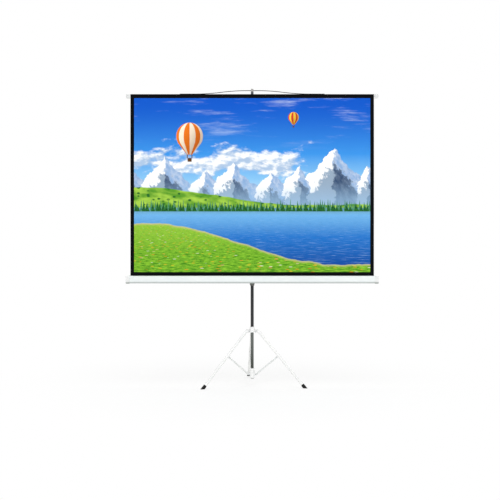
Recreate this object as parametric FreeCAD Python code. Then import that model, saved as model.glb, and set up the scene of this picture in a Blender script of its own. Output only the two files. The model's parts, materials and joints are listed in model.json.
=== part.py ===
import FreeCAD, Part
import math
import os

# Tripod projection screen, drawn open, in millimetres, +Z up, with the viewer on the -Y side.
# Everything is first drawn about the column's axis and then moved so that the origin lies on the
# floor under the middle of the whole screen.

V = FreeCAD.Vector
UP = V(0, 0, 1)
RIGHT = V(1, 0, 0)
BACK = V(0, 1, 0)

# Clearances that all fits share
seat_gap = 0.3
running_gap = 0.05
overrun = 20.0

# Column, the vinyl sleeve shrunk on its upper length, and the plug in its lower end
column_radius = 12.5
column_wall = 1.2
column_bottom_z = 50.0
column_top_z = 1310.0
sleeve_thickness = 0.5
sleeve_start = 23.0
plug_depth = 18.0
plug_flange = 4.0

# Pole that slides in the column
pole_radius = 11.0
pole_wall = 1.2
pole_overlap = 160.0
pole_bush_length = 30.0
pole_bush_lip = 3.0

# Lock collar on the column's upper end
top_collar_radius = 19.0
top_collar_height = 46.0
top_collar_lip = 6.0
top_collar_knob_drop = 22.0

# Clamping knobs with a moulded-in stud, and the bosses that they screw into
knob_radius = 15.0
knob_length = 17.0
knob_lobes = 7
knob_notch_radius = 4.5
knob_notch_depth = 2.2
knob_stud_radius = 3.0
knob_neck_radius = 8.0
knob_neck_length = 5.0
knob_round = 2.0
boss_radius = 9.0
boss_reach = 27.0

# Tripod linkage: the leg's pivot line, the brace and the fold
pivot_radius = 36.0
hub_pivot_z = 84.0
leg_pivot_length = 276.0
brace_share = 0.886
leg_spread_angle = 43.6
leg_folded_angle = 4.0
tripod_turn = 3.5
rear_leg_angle = 90.0
leg_spacing_angle = 120.0
legs = ("rear", "left", "right")
carrying_leg = "left"

# Lower hub with one ear for each brace
hub_radius = 20.0
hub_bottom_z = 50.0
hub_height = 82.0
hub_ear_thickness = 11.0
hub_round = 3.0

# Braces of folded sheet, and their pins
brace_flange = 2.1
brace_side_gap = 0.4
brace_depth = 11.0
brace_eye_radius = 6.5
brace_web_start = 17.0
brace_bend_radius = 2.0
brace_pin_radius = 2.5
pin_head_radius = 4.8
pin_head_height = 2.0

# Legs, their top knuckles, brace brackets and rubber feet
leg_radius = 11.0
leg_wall = 1.2
leg_offset = 19.0
knuckle_radius = 13.0
knuckle_start = 10.0
knuckle_length = 34.0
knuckle_tongue = 8.0
knuckle_eye_radius = 10.5
knuckle_top_reach = 9.0
bracket_radius = 12.5
bracket_length = 32.0
bracket_tongue_length = 15.0
foot_radius = 14.0
foot_top_radius = 12.6
foot_length = 36.0
foot_taper = 11.0
foot_tube_stop = 18.0

# Leg collar that slides on the column
collar_pivot_rise = 8.0
collar_height = 46.0
collar_wall = 5.5
collar_ear_thickness = 4.0
collar_ear_radius = 9.0
collar_pin_radius = 3.0
collar_pin_head_radius = 5.5
collar_knob_drop = 15.0
collar_round = 2.5

# Stop collar under the carriage
stop_collar_z = 814.0
stop_collar_height = 24.0
stop_collar_top_radius = 22.0
stop_collar_bottom_radius = 16.5
stop_screw_radius = 2.5
stop_screw_length = 5.5

# Carriage that carries the case on the column
carriage_radius = 19.0
carriage_height = 60.0
carriage_boss_radius = 24.0
carriage_boss_reach = 29.0
swivel_radius = 4.0
swivel_embed = 13.0
swivel_washer_radius = 11.0
swivel_washer_thickness = 1.0
swivel_nut_flats = 13.0
swivel_nut_height = 6.5
swivel_thread_end = 2.0

# Saddle bracket on the back of the case
saddle_thickness = 3.0
saddle_cavity = 10.7
saddle_width = 120.0
saddle_height = 40.0
saddle_foot = 22.0
saddle_foot_thickness = 2.5
saddle_rivet_radius = 2.0
saddle_rivet_head_radius = 4.0
saddle_rivet_head = 1.5
saddle_rivet_spacing = 20.0

# Case, its end caps and their screws
case_end_room = 36.0
case_depth = 54.0
case_height = 61.0
case_wall = 1.6
case_slot = 6.0
case_front_bottom_round = 16.0
case_front_top_round = 9.0
case_back_round = 7.0
cap_length = 30.0
cap_wall = 3.0
cap_growth = 3.0
cap_boss_radius = 9.0
cap_boss_length = 12.0
screw_port_radius = 3.6
screw_port_sink_share = 0.8
screw_radius = 1.6
screw_length = 24.0
screw_head_radius = 3.4
screw_head_height = 2.0

# Roller, its plugs and the spring in it
roller_radius = 17.0
roller_wall = 1.5
roller_end_gap = 1.0
roller_flange = 4.0
roller_plug_depth = 30.0
gudgeon_radius = 4.0
gudgeon_length = 11.0
wrap_thickness = 1.4
arbor_length = 640.0
spring_length = 540.0
spring_outer_radius = 11.0
spring_start = 60.0

# Screen fabric and the batten in its top hem
fabric_width = 2000.0
fabric_rise = 1491.5
fabric_thickness = 0.5
hem_thickness = 0.5
hem_step = 0.7
batten_height = 33.0
batten_depth = 22.0
batten_wall = 1.6
batten_overhang = 14.0
batten_cap_length = 37.0
batten_cap_growth = 0.8
batten_cap_round = 3.0

# Pull strap on the batten
strap_length = 1190.0
strap_flat_end = 125.0
strap_flat_middle = 80.0
strap_rise = 27.5
strap_width = 20.0
strap_thickness = 4.4
strap_rivet_radius = 2.5
strap_rivet_head_radius = 5.5
strap_rivet_head = 2.2
strap_rivet_grip = 8.0
strap_rivet_inset = 22.0
strap_rivet_spacing = 60.0

# Hook on the pole's top
hook_width = 20.0
hook_arm = 5.0
hook_lip = 4.0
hook_lip_height = 15.0
hook_side_gap = 0.6
hook_dome_height = 22.0
hook_dome_radius = 10.0
hook_dome_round = 4.0
hook_plug_depth = 32.0
hook_rivet_radius = 2.0
hook_rivet_head_radius = 3.5
hook_rivet_head = 1.2
hook_rivet_drop = 16.0

# Worked-out sizes of the column and the tripod linkage, whose collar stands where legs and braces meet
column_bore = column_radius - column_wall
sleeve_radius = column_radius + sleeve_thickness
pole_bottom_z = column_top_z - pole_overlap
leg_azimuths = {name: rear_leg_angle + k * leg_spacing_angle for k, name in enumerate(legs)}
leg_angle = math.radians(leg_spread_angle)
folded_leg_angle = math.radians(leg_folded_angle)
along_leg = V(math.sin(leg_angle), 0, -math.cos(leg_angle))
above_leg = V(math.cos(leg_angle), 0, math.sin(leg_angle))
brace_length = leg_pivot_length * brace_share
brace_angle = math.asin(leg_pivot_length * math.sin(leg_angle) / brace_length)
collar_pivot_z = (hub_pivot_z + brace_length * math.cos(brace_angle)
                  + leg_pivot_length * math.cos(leg_angle))
collar_bottom_z = collar_pivot_z - collar_pivot_rise
sleeve_bottom_z = collar_bottom_z + sleeve_start
hub_pivot = V(pivot_radius, 0, hub_pivot_z)
collar_pivot = V(pivot_radius, 0, collar_pivot_z)
brace_pivot = collar_pivot + along_leg * leg_pivot_length
folded_brace_angle = math.asin(leg_pivot_length * math.sin(folded_leg_angle) / brace_length)
along_brace = V(math.sin(brace_angle), 0, math.cos(brace_angle))
above_brace = V(-math.cos(brace_angle), 0, math.sin(brace_angle))
brace_inner_width = hub_ear_thickness + 2 * brace_side_gap
brace_width = brace_inner_width + 2 * brace_flange
leg_axis_start = collar_pivot + above_leg * leg_offset
leg_axis_length = leg_axis_start.z / math.cos(leg_angle)
foot_reach = (leg_axis_start + along_leg * leg_axis_length).x


def fold_drift_at(share):
    """How far the leg's top pivot stands off its place, with leg and brace turning in a fixed ratio."""
    leg = leg_angle + (folded_leg_angle - leg_angle) * share
    brace = brace_angle + (folded_brace_angle - brace_angle) * share
    return abs(brace_length * math.sin(brace) - leg_pivot_length * math.sin(leg))


fold_drift_samples = 40
fold_drift = max(fold_drift_at(k / fold_drift_samples) for k in range(fold_drift_samples + 1))
collar_bore = sleeve_radius + fold_drift + seat_gap
collar_radius = collar_bore + collar_wall
fork_gap = knuckle_tongue + 2 * (fold_drift + seat_gap)
free_pivot_play = fold_drift * math.sqrt(3) + seat_gap

# Worked-out places of the case, the roller, the fabric and the batten
carriage_bottom_z = stop_collar_z + stop_collar_height + seat_gap
case_bottom_z = stop_collar_z + stop_collar_height
case_top_z = case_bottom_z + case_height
case_mid_z = case_bottom_z + case_height / 2
saddle_back_y = -(carriage_boss_reach + swivel_washer_thickness + seat_gap)
case_back_y = saddle_back_y - saddle_thickness - saddle_cavity
case_front_y = case_back_y - case_depth
roller_y = (case_back_y + case_front_y) / 2
wrap_radius = roller_radius + wrap_thickness
fabric_back_y = roller_y + wrap_radius + seat_gap + fabric_thickness
fabric_front_y = fabric_back_y - fabric_thickness
batten_top_z = case_top_z + fabric_rise
batten_bottom_z = batten_top_z - batten_height
batten_front_y = fabric_front_y - hem_step
batten_back_y = batten_front_y + batten_depth
batten_mid_y = (batten_front_y + batten_back_y) / 2
case_length = fabric_width + 2 * case_end_room
case_end = case_length / 2 - cap_wall
roller_end = case_end - cap_boss_length - roller_end_gap - roller_flange
strap_under_z = batten_top_z + strap_rise
hook_top_z = strap_under_z - seat_gap
pole_top_z = hook_top_z - hook_arm


def rod(start, direction, radius, length):
    """A solid cylinder from a point along a direction."""
    return Part.makeCylinder(radius, length, start, direction)


def pipe(start, direction, outer, inner, length):
    """A hollow cylinder from a point along a direction."""
    return rod(start, direction, outer, length).cut(rod(start, direction, inner, length))


def block(low, high):
    """A box between two corners."""
    size = high - low
    return Part.makeBox(size.x, size.y, size.z, low)


def join(first, *others):
    """One solid from pieces that overlap or touch."""
    return first.fuse(list(others)).removeSplitter().Solids[0]


def carve(shape, *tools):
    """One solid with tools taken out of it."""
    return shape.cut(Part.makeCompound(list(tools))).Solids[0]


def group(solids):
    """Separate solids that share a name."""
    return Part.makeCompound(list(solids))


def plate(points, thickness, middle=0):
    """A flat plate from an outline in the XZ plane, thick along Y about a middle."""
    face = Part.Face(Part.makePolygon(points + points[:1]))
    face.translate(BACK * (middle - thickness / 2))
    return face.extrude(BACK * thickness)


def eye(centre, radius, thickness, middle=0):
    """A disc about a pivot in the XZ plane, thick along Y about a middle."""
    return rod(centre + BACK * (middle - thickness / 2), BACK, radius, thickness)


def mirrored(build):
    """A piece made on both sides of the radial plane."""
    return [build(-1), build(1)]


def rounded_face(x, front, back, bottom, top, rounds):
    """A face across X with four rounded corners: front bottom, back bottom, back top, front top."""
    corners = [V(x, front, bottom), V(x, back, bottom), V(x, back, top), V(x, front, top)]
    arcs = []
    for k, corner in enumerate(corners):
        arriving = (corner - corners[k - 1]).normalize() * rounds[k]
        leaving = (corners[(k + 1) % len(corners)] - corner).normalize() * rounds[k]
        centre = corner - arriving + leaving
        middle = centre + (corner - centre) * (rounds[k] / (corner - centre).Length)
        arcs.append(Part.Arc(corner - arriving, middle, corner + leaving).toShape())
    edges = []
    for k, arc in enumerate(arcs):
        edges.append(Part.LineSegment(arcs[k - 1].lastVertex().Point, arc.firstVertex().Point).toShape())
        edges.append(arc)
    return Part.Face(Part.Wire(edges))


def rounded_bar(start, length, front, back, bottom, top, rounds):
    """A bar along X with a rounded section."""
    return rounded_face(start, front, back, bottom, top, rounds).extrude(RIGHT * length)


def knob(tip, outward, stud_length):
    """A lobed hand knob whose stud starts at its tip and runs outward."""
    stud = Part.makeCylinder(knob_stud_radius, stud_length + knob_length / 2)
    neck = Part.makeCylinder(knob_neck_radius, knob_neck_length, UP * stud_length)
    grip_start = stud_length + knob_neck_length
    grip = Part.makeCylinder(knob_radius, knob_length, UP * grip_start)
    grip = grip.makeFillet(knob_round, [edge for edge in grip.Edges if edge.Closed])
    notches = []
    for k in range(knob_lobes):
        turn = 2 * math.pi * k / knob_lobes
        ray = V(math.cos(turn), math.sin(turn), 0) * (knob_radius + knob_notch_radius - knob_notch_depth)
        notches.append(Part.makeCylinder(knob_notch_radius, knob_length, ray + UP * grip_start))
    shape = join(stud, neck, carve(grip, *notches))
    shape.Placement = FreeCAD.Placement(tip, FreeCAD.Rotation(UP, outward))
    return shape


def rivet(centre, axis, radius, length, head_radius, head_height):
    """A pin centred on a point, with a flat head on each end."""
    start = centre - axis * (length / 2)
    shank = rod(start, axis, radius, length)
    heads = [rod(start - axis * head_height, axis, head_radius, head_height),
             rod(start + axis * length, axis, head_radius, head_height)]
    return join(shank, *heads)


def turned(shape, name):
    """A copy of a piece drawn in the XZ plane, turned to one leg's direction."""
    copy = shape.copy()
    copy.rotate(V(0, 0, 0), UP, leg_azimuths[name] + tripod_turn)
    return copy


def build_column():
    """Column tube, sleeve, foot plug, stop collar and the lock collar on top."""
    origin = UP * column_bottom_z
    height = column_top_z - column_bottom_z
    lock_z = column_top_z + top_collar_lip - top_collar_knob_drop
    lock_hole = rod(UP * lock_z, BACK, knob_stud_radius + running_gap, boss_reach + overrun)
    tube = carve(pipe(origin, UP, column_radius, column_bore, height), lock_hole)
    sleeve = pipe(UP * sleeve_bottom_z, UP, sleeve_radius, column_radius, column_top_z - sleeve_bottom_z)
    plug = join(rod(origin - UP * plug_flange, UP, column_radius, plug_flange),
                rod(origin, UP, column_bore, plug_depth))
    cone = Part.makeCone(stop_collar_bottom_radius, stop_collar_top_radius, stop_collar_height,
                         UP * stop_collar_z)
    screw_start = UP * (stop_collar_z + stop_collar_height / 2) + BACK * sleeve_radius
    screw = rod(screw_start, BACK, stop_screw_radius, stop_screw_length)
    stop = carve(cone, rod(UP * stop_collar_z, UP, sleeve_radius, stop_collar_height),
                 rod(screw_start, BACK, stop_screw_radius, stop_screw_length + overrun))
    top_start = column_top_z + top_collar_lip - top_collar_height
    top_ring = join(rod(UP * top_start, UP, top_collar_radius, top_collar_height),
                    rod(UP * lock_z, BACK, boss_radius, boss_reach))
    top_ring = carve(top_ring, rod(UP * top_start, UP, sleeve_radius, column_top_z - top_start),
                     rod(UP * top_start, UP, pole_radius + seat_gap, top_collar_height), lock_hole)
    lock_tip = pole_radius + seat_gap
    return {
        "column_tube": tube,
        "column_sleeve": carve(sleeve, lock_hole),
        "column_foot_plug": plug,
        "stop_collar": stop,
        "stop_collar_screw": screw,
        "column_top_collar": top_ring,
        "pole_lock_knob": knob(BACK * lock_tip + UP * lock_z, BACK, boss_reach - lock_tip + seat_gap),
    }


def build_pole():
    """Sliding pole, the bush on its lower end and the strap hook on its top."""
    rivet_z = pole_top_z - hook_rivet_drop
    rivet_hole = rod(UP * rivet_z - RIGHT * (pole_radius + overrun), RIGHT, hook_rivet_radius,
                     2 * (pole_radius + overrun))
    tube = pipe(UP * pole_bottom_z, UP, pole_radius, pole_radius - pole_wall, pole_top_z - pole_bottom_z)
    bush = join(rod(UP * (pole_bottom_z - pole_bush_lip), UP, column_bore - running_gap, pole_bush_lip),
                rod(UP * pole_bottom_z, UP, pole_radius - pole_wall, pole_bush_length))
    lip_back = batten_mid_y - strap_width / 2 - hook_side_gap
    lip_front = lip_back - hook_lip
    arm = block(V(-hook_width / 2, lip_front, pole_top_z), V(hook_width / 2, 0, hook_top_z))
    lip = block(V(-hook_width / 2, lip_front, pole_top_z),
                V(hook_width / 2, lip_back, hook_top_z + hook_lip_height))
    lip = lip.makeFillet(hook_lip, [edge for edge in lip.Edges if on_lip_corner(edge, lip)])
    seat = rod(UP * pole_top_z, UP, pole_radius, hook_arm)
    dome = rod(UP * hook_top_z, UP, hook_dome_radius, hook_dome_height)
    dome = dome.makeFillet(hook_dome_round, [dome.Edges[0]])
    plug = rod(UP * (pole_top_z - hook_plug_depth), UP, pole_radius - pole_wall, hook_plug_depth)
    hook = join(arm, lip, seat, dome, plug)
    return {
        "extension_pole": carve(tube, rivet_hole),
        "pole_bush": bush,
        "strap_hook": carve(hook, rivet_hole),
        "hook_rivet": rivet(UP * rivet_z, RIGHT, hook_rivet_radius, 2 * pole_radius,
                            hook_rivet_head_radius, hook_rivet_head),
    }


def on_lip_corner(edge, lip):
    """True for the two short upper edges of the hook's lip, which are rounded."""
    upper = edge.BoundBox.ZMin > lip.BoundBox.Center.z
    return upper and edge.BoundBox.YLength > edge.BoundBox.XLength


def build_lower_hub():
    """Hub pressed on the column's foot, with one ear and one pin for each brace."""
    ring = rod(UP * hub_bottom_z, UP, hub_radius, hub_height)
    ring = ring.makeFillet(hub_round, [edge for edge in ring.Edges if edge.Closed])
    low = hub_pivot_z - brace_eye_radius
    high = hub_pivot_z + brace_eye_radius
    outline = [V(0, 0, low), V(pivot_radius, 0, low), V(pivot_radius, 0, high), V(0, 0, high)]
    ear = join(plate(outline, hub_ear_thickness), eye(hub_pivot, brace_eye_radius, hub_ear_thickness))
    pin = rivet(hub_pivot, BACK, brace_pin_radius, brace_width + 2 * brace_side_gap,
                pin_head_radius, pin_head_height)
    hole = eye(hub_pivot, brace_pin_radius, hub_ear_thickness + overrun)
    ears = [turned(ear, name) for name in leg_azimuths]
    holes = [turned(hole, name) for name in leg_azimuths]
    bore = rod(UP * hub_bottom_z, UP, column_radius, hub_height)
    return {
        "lower_hub": carve(join(ring, *ears), bore, *holes),
        "hub_pins": group(turned(pin, name) for name in leg_azimuths),
    }


def build_collar():
    """Collar that slides on the column, with a fork and a pin for each leg, and its knob."""
    ring = rod(UP * collar_bottom_z, UP, collar_radius, collar_height)
    ring = ring.makeFillet(collar_round, [edge for edge in ring.Edges if edge.Closed])
    middle = (fork_gap + collar_ear_thickness) / 2
    low = collar_pivot_z - collar_ear_radius
    high = collar_pivot_z + collar_ear_radius
    outline = [V(collar_bore, 0, low), V(pivot_radius, 0, low), V(pivot_radius, 0, high),
               V(collar_bore, 0, high + collar_ear_radius)]

    def ear(side):
        """One cheek of a fork."""
        return join(plate(outline, collar_ear_thickness, side * middle),
                    eye(collar_pivot, collar_ear_radius, collar_ear_thickness, side * middle))

    pin_grip = fork_gap + 2 * collar_ear_thickness
    pin = rivet(collar_pivot, BACK, collar_pin_radius, pin_grip, collar_pin_head_radius, pin_head_height)
    hole = eye(collar_pivot, collar_pin_radius, pin_grip + overrun)
    ears = [turned(cheek, name) for name in leg_azimuths for cheek in mirrored(ear)]
    holes = [turned(hole, name) for name in leg_azimuths]
    front = FreeCAD.Rotation(UP, tripod_turn).multVec(-BACK)
    knob_z = collar_bottom_z + collar_height - collar_knob_drop
    boss = rod(UP * knob_z, front, boss_radius, collar_radius + collar_wall)
    stud_hole = rod(UP * knob_z, front, knob_stud_radius + running_gap, collar_radius + overrun)
    bore = rod(UP * collar_bottom_z, UP, collar_bore, collar_height)
    tip = sleeve_radius + seat_gap
    stud_length = collar_radius + collar_wall + seat_gap - tip
    return {
        "leg_collar": carve(join(ring, boss, *ears), bore, stud_hole, *holes),
        "collar_pins": group(turned(pin, name) for name in leg_azimuths),
        "collar_knob": knob(UP * knob_z + front * tip, front, stud_length),
    }


def build_brace():
    """A folded-sheet brace, open towards the column, with its outer pin."""
    half = brace_depth / 2
    middle = (brace_inner_width + brace_flange) / 2
    ends = [hub_pivot - above_brace * half, brace_pivot - above_brace * half,
            brace_pivot + above_brace * half, hub_pivot + above_brace * half]

    def flange(side):
        """One side of the folded sheet with its two pivot eyes."""
        return join(plate(ends, brace_flange, side * middle),
                    eye(hub_pivot, brace_eye_radius, brace_flange, side * middle),
                    eye(brace_pivot, brace_eye_radius, brace_flange, side * middle))

    near = hub_pivot + along_brace * brace_web_start
    far = brace_pivot - along_brace * brace_web_start
    web = plate([near - above_brace * half, far - above_brace * half,
                 far - above_brace * (half - brace_flange), near - above_brace * (half - brace_flange)],
                brace_width)
    sheet = join(web, *mirrored(flange))
    sheet = carve(sheet, eye(hub_pivot, brace_pin_radius + running_gap, brace_width + overrun),
                  eye(brace_pivot, brace_pin_radius, brace_width + overrun))
    bends = [edge for edge in sheet.Edges if on_brace_bend(edge)]
    return sheet.makeFillet(brace_bend_radius, bends)


def on_brace_bend(edge):
    """True for the two long outer edges where the sheet is folded."""
    centre = edge.CenterOfMass
    depth = (centre - hub_pivot).dot(above_brace)
    on_web = abs(depth + brace_depth / 2) < running_gap
    on_side = abs(abs(centre.y) - brace_width / 2) < running_gap
    return on_web and on_side and edge.Length > brace_length / 2


def build_leg(play):
    """A leg's tube, top knuckle with play at its pivot, brace bracket and rubber foot."""
    def at(along, above=0):
        """A point given along the leg and above its axis."""
        return leg_axis_start + along_leg * along + above_leg * above

    tube_end = leg_axis_length - foot_tube_stop
    tube = pipe(at(knuckle_start), along_leg, leg_radius, leg_radius - leg_wall, tube_end - knuckle_start)
    tongue_end = knuckle_start + leg_radius
    outline = [at(-knuckle_eye_radius, -leg_offset), at(-knuckle_eye_radius), at(0, knuckle_top_reach),
               at(tongue_end, knuckle_top_reach), at(tongue_end, -knuckle_top_reach),
               at(knuckle_eye_radius, -leg_offset)]
    tongue = join(plate(outline, knuckle_tongue), eye(collar_pivot, knuckle_eye_radius, knuckle_tongue))
    socket = rod(at(knuckle_start), along_leg, knuckle_radius, knuckle_length)
    tube_space = rod(at(knuckle_start), along_leg, leg_radius, knuckle_length + overrun)
    spigot = rod(at(knuckle_start), along_leg, leg_radius - leg_wall, knuckle_length / 2)
    pin_hole = eye(collar_pivot, collar_pin_radius + play, knuckle_tongue + overrun)
    knuckle = join(carve(join(tongue, socket), tube_space, pin_hole), spigot)
    band = rod(at(leg_pivot_length - bracket_length / 2), along_leg, bracket_radius, bracket_length)
    half = bracket_tongue_length / 2
    lug = plate([at(leg_pivot_length - half), at(leg_pivot_length - brace_eye_radius, -leg_offset),
                 at(leg_pivot_length + brace_eye_radius, -leg_offset), at(leg_pivot_length + half)],
                hub_ear_thickness)
    bracket = join(band, lug, eye(brace_pivot, brace_eye_radius, hub_ear_thickness))
    bracket = carve(bracket, rod(at(0), along_leg, leg_radius, leg_axis_length),
                    eye(brace_pivot, brace_pin_radius + running_gap, hub_ear_thickness + overrun))
    foot_start = leg_axis_length - foot_length
    foot = join(Part.makeCone(foot_top_radius, foot_radius, foot_taper, at(foot_start), along_leg),
                rod(at(foot_start + foot_taper), along_leg, foot_radius, foot_length))
    below = block(V(-foot_reach, -foot_reach, -foot_reach), V(2 * foot_reach, foot_reach, 0))
    foot = carve(foot, below, rod(at(0), along_leg, leg_radius, tube_end))
    return {"leg_tube": tube, "leg_knuckle": knuckle, "leg_bracket": bracket, "foot": foot}


def build_tripod():
    """The three legs with their braces and brace pins, turned to their places."""
    pieces = {}
    brace = build_brace()
    pin = rivet(brace_pivot, BACK, brace_pin_radius, brace_width, pin_head_radius, pin_head_height)
    for name in leg_azimuths:
        play = running_gap if name == carrying_leg else free_pivot_play
        pieces["brace_" + name] = turned(brace, name)
        pieces["brace_pin_" + name] = turned(pin, name)
        for piece, shape in build_leg(play).items():
            pieces[piece + "_" + name] = turned(shape, name)
    return pieces


def build_carriage():
    """Carriage on the column, its swivel stud, washer and nut, and its knob."""
    bore = rod(UP * carriage_bottom_z, UP, sleeve_radius + seat_gap, carriage_height)
    pivot = UP * case_mid_z
    body = join(rod(UP * carriage_bottom_z, UP, carriage_radius, carriage_height),
                rod(pivot, -BACK, carriage_boss_radius, carriage_boss_reach),
                rod(pivot, BACK, boss_radius, boss_reach))
    stud_start = pivot - BACK * (carriage_boss_reach - swivel_embed)
    nut_back = saddle_back_y - saddle_thickness - seat_gap
    stud_end = nut_back - swivel_nut_height - swivel_thread_end
    stud = rod(stud_start, -BACK, swivel_radius, stud_start.y - stud_end)
    tip = sleeve_radius + seat_gap
    knob_hole = rod(pivot, BACK, knob_stud_radius + running_gap, boss_reach + overrun)
    corner = swivel_nut_flats / math.sqrt(3)
    corners = []
    for k in range(6):
        turn = math.pi * k / 3
        corners.append(V(corner * math.cos(turn), 0, case_mid_z + corner * math.sin(turn)))
    nut = plate(corners, swivel_nut_height, nut_back - swivel_nut_height / 2)
    washer_start = pivot - BACK * carriage_boss_reach
    washer = pipe(washer_start, -BACK, swivel_washer_radius, swivel_radius, swivel_washer_thickness)
    return {
        "carriage_body": carve(body, bore, rod(stud_start, -BACK, swivel_radius, swivel_embed), knob_hole),
        "swivel_stud": stud,
        "swivel_washer": washer,
        "swivel_nut": carve(nut, rod(stud_start, -BACK, swivel_radius, saddle_cavity - stud_end)),
        "carriage_knob": knob(pivot + BACK * tip, BACK, boss_reach - tip + seat_gap),
    }


def saddle_rivet_places():
    """Middles of the rivets that hold the saddle on the back of the case."""
    x = saddle_width / 2 + saddle_foot / 2
    y = case_back_y + (saddle_foot_thickness - case_wall) / 2
    z = saddle_rivet_spacing / 2
    return [V(side * x, y, case_mid_z + rise * z) for side in (-1, 1) for rise in (-1, 1)]


def screw_places():
    """Where the screw ports run along the case, as Y and Z of their axes."""
    places = []
    for radius, centre_z, rise in ((case_front_bottom_round, case_bottom_z + case_front_bottom_round, -1),
                                   (case_front_top_round, case_top_z - case_front_top_round, 1)):
        reach = (radius - case_wall - screw_port_radius * screw_port_sink_share) / math.sqrt(2)
        places.append((case_front_y + radius - reach, centre_z + rise * reach))
    return places


def case_rounds(growth):
    """Corner radii of the case's section, grown outwards or inwards."""
    return [case_front_bottom_round + growth, case_back_round + growth, case_back_round + growth,
            case_front_top_round + growth]


def case_bar(start, length, growth):
    """A bar of the case's own section, grown outwards or inwards."""
    return rounded_bar(start, length, case_front_y - growth, case_back_y + growth,
                       case_bottom_z - growth, case_top_z + growth, case_rounds(growth))


def build_case():
    """Case, saddle, end caps and screws."""
    outer = case_bar(-case_end, 2 * case_end, 0)
    inner = case_bar(-case_end, 2 * case_end, -case_wall)
    fabric_mid_y = (fabric_front_y + fabric_back_y) / 2
    slot = block(V(-case_end, fabric_mid_y - case_slot / 2, case_mid_z),
                 V(case_end, fabric_mid_y + case_slot / 2, case_top_z + overrun))
    ports = [rod(V(-case_end, y, z), RIGHT, screw_port_radius, 2 * case_end).common(outer)
             for y, z in screw_places()]
    port_bores = [rod(V(-case_end, y, z), RIGHT, screw_radius, 2 * case_end) for y, z in screw_places()]
    rivets = [rivet(place, BACK, saddle_rivet_radius, saddle_foot_thickness + case_wall,
                    saddle_rivet_head_radius, saddle_rivet_head) for place in saddle_rivet_places()]
    rivet_holes = [rod(place - BACK * overrun / 2, BACK, saddle_rivet_radius, overrun)
                   for place in saddle_rivet_places()]
    shell = join(carve(outer, inner), *ports)
    body = carve(shell, slot, *port_bores, *rivet_holes)
    saddle_front_y = saddle_back_y - saddle_thickness
    half = saddle_width / 2
    low = case_mid_z - saddle_height / 2
    high = case_mid_z + saddle_height / 2
    bridge = block(V(-half, saddle_front_y, low), V(half, saddle_back_y, high))

    def cheek(side):
        """One leg of the saddle with its riveted foot."""
        edges = sorted((side * (half - saddle_thickness), side * half))
        feet = sorted((side * (half - saddle_thickness), side * (half + saddle_foot)))
        foot_back_y = case_back_y + saddle_foot_thickness
        return join(block(V(edges[0], case_back_y, low), V(edges[1], saddle_back_y, high)),
                    block(V(feet[0], case_back_y, low), V(feet[1], foot_back_y, high)))

    saddle = carve(join(bridge, *mirrored(cheek)), *rivet_holes,
                   rod(V(0, case_back_y, case_mid_z), BACK, swivel_radius + running_gap, -case_back_y))
    pieces = {"case_body": body, "case_saddle": saddle, "saddle_rivets": group(rivets)}
    screws = []
    for side, name in ((-1, "left"), (1, "right")):
        pieces["end_cap_" + name] = build_end_cap(side)
        for y, z in screw_places():
            start = V(side * case_length / 2, y, z)
            screws.append(join(rod(start, RIGHT * -side, screw_head_radius, screw_head_height),
                               rod(start, RIGHT * -side, screw_radius, screw_length)))
    pieces["end_cap_screws"] = group(screws)
    return pieces


def build_end_cap(side):
    """A cap over one end of the case, with the bearing boss of the roller in it."""
    tip = side * case_length / 2
    wall = side * case_end
    start = min(tip, tip - side * cap_length)
    cap = case_bar(start, cap_length, cap_growth)
    pocket = case_bar(min(wall, wall - side * cap_length), cap_length, 0)
    axis_start = V(wall, roller_y, case_mid_z)
    boss = rod(axis_start, RIGHT * -side, cap_boss_radius, cap_boss_length)
    play = running_gap if side > 0 else 0
    bore = rod(axis_start, RIGHT * -side, gudgeon_radius + play, cap_boss_length)
    tools = [bore]
    for y, z in screw_places():
        screw_start = V(tip, y, z)
        tools.append(rod(screw_start, RIGHT * -side, screw_head_radius, screw_head_height))
        tools.append(rod(screw_start, RIGHT * -side, screw_radius, cap_wall))
    return carve(join(carve(cap, pocket), boss), *tools)


def build_roller():
    """Spring roller with its plugs and fabric wraps, and the arbor and spring that stay still."""
    left = V(-roller_end, roller_y, case_mid_z)
    right = V(roller_end, roller_y, case_mid_z)
    bore = roller_radius - roller_wall
    tube = pipe(left, RIGHT, roller_radius, bore, 2 * roller_end)
    wrap_start = V(-fabric_width / 2, roller_y, case_mid_z)
    wraps = pipe(wrap_start, RIGHT, wrap_radius, roller_radius, fabric_width)
    right_plug = join(rod(right - RIGHT * roller_plug_depth, RIGHT, bore, roller_plug_depth),
                      rod(right, RIGHT, roller_radius, roller_flange),
                      rod(right, RIGHT, gudgeon_radius, roller_flange + roller_end_gap + gudgeon_length))
    left_plug = join(rod(left, RIGHT, bore, roller_plug_depth),
                     rod(left - RIGHT * roller_flange, RIGHT, roller_radius, roller_flange))
    left_plug = carve(left_plug, rod(left - RIGHT * roller_flange, RIGHT, gudgeon_radius + running_gap,
                                     roller_plug_depth + roller_flange))
    arbor_start = V(-case_end, roller_y, case_mid_z)
    spring_first = left + RIGHT * spring_start
    return {
        "roller_tube": tube,
        "roller_plug_left": left_plug,
        "roller_plug_right": right_plug,
        "fabric_wraps": wraps,
        "spring_arbor": rod(arbor_start, RIGHT, gudgeon_radius, arbor_length),
        "torsion_spring": pipe(spring_first, RIGHT, spring_outer_radius, gudgeon_radius, spring_length),
    }


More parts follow.
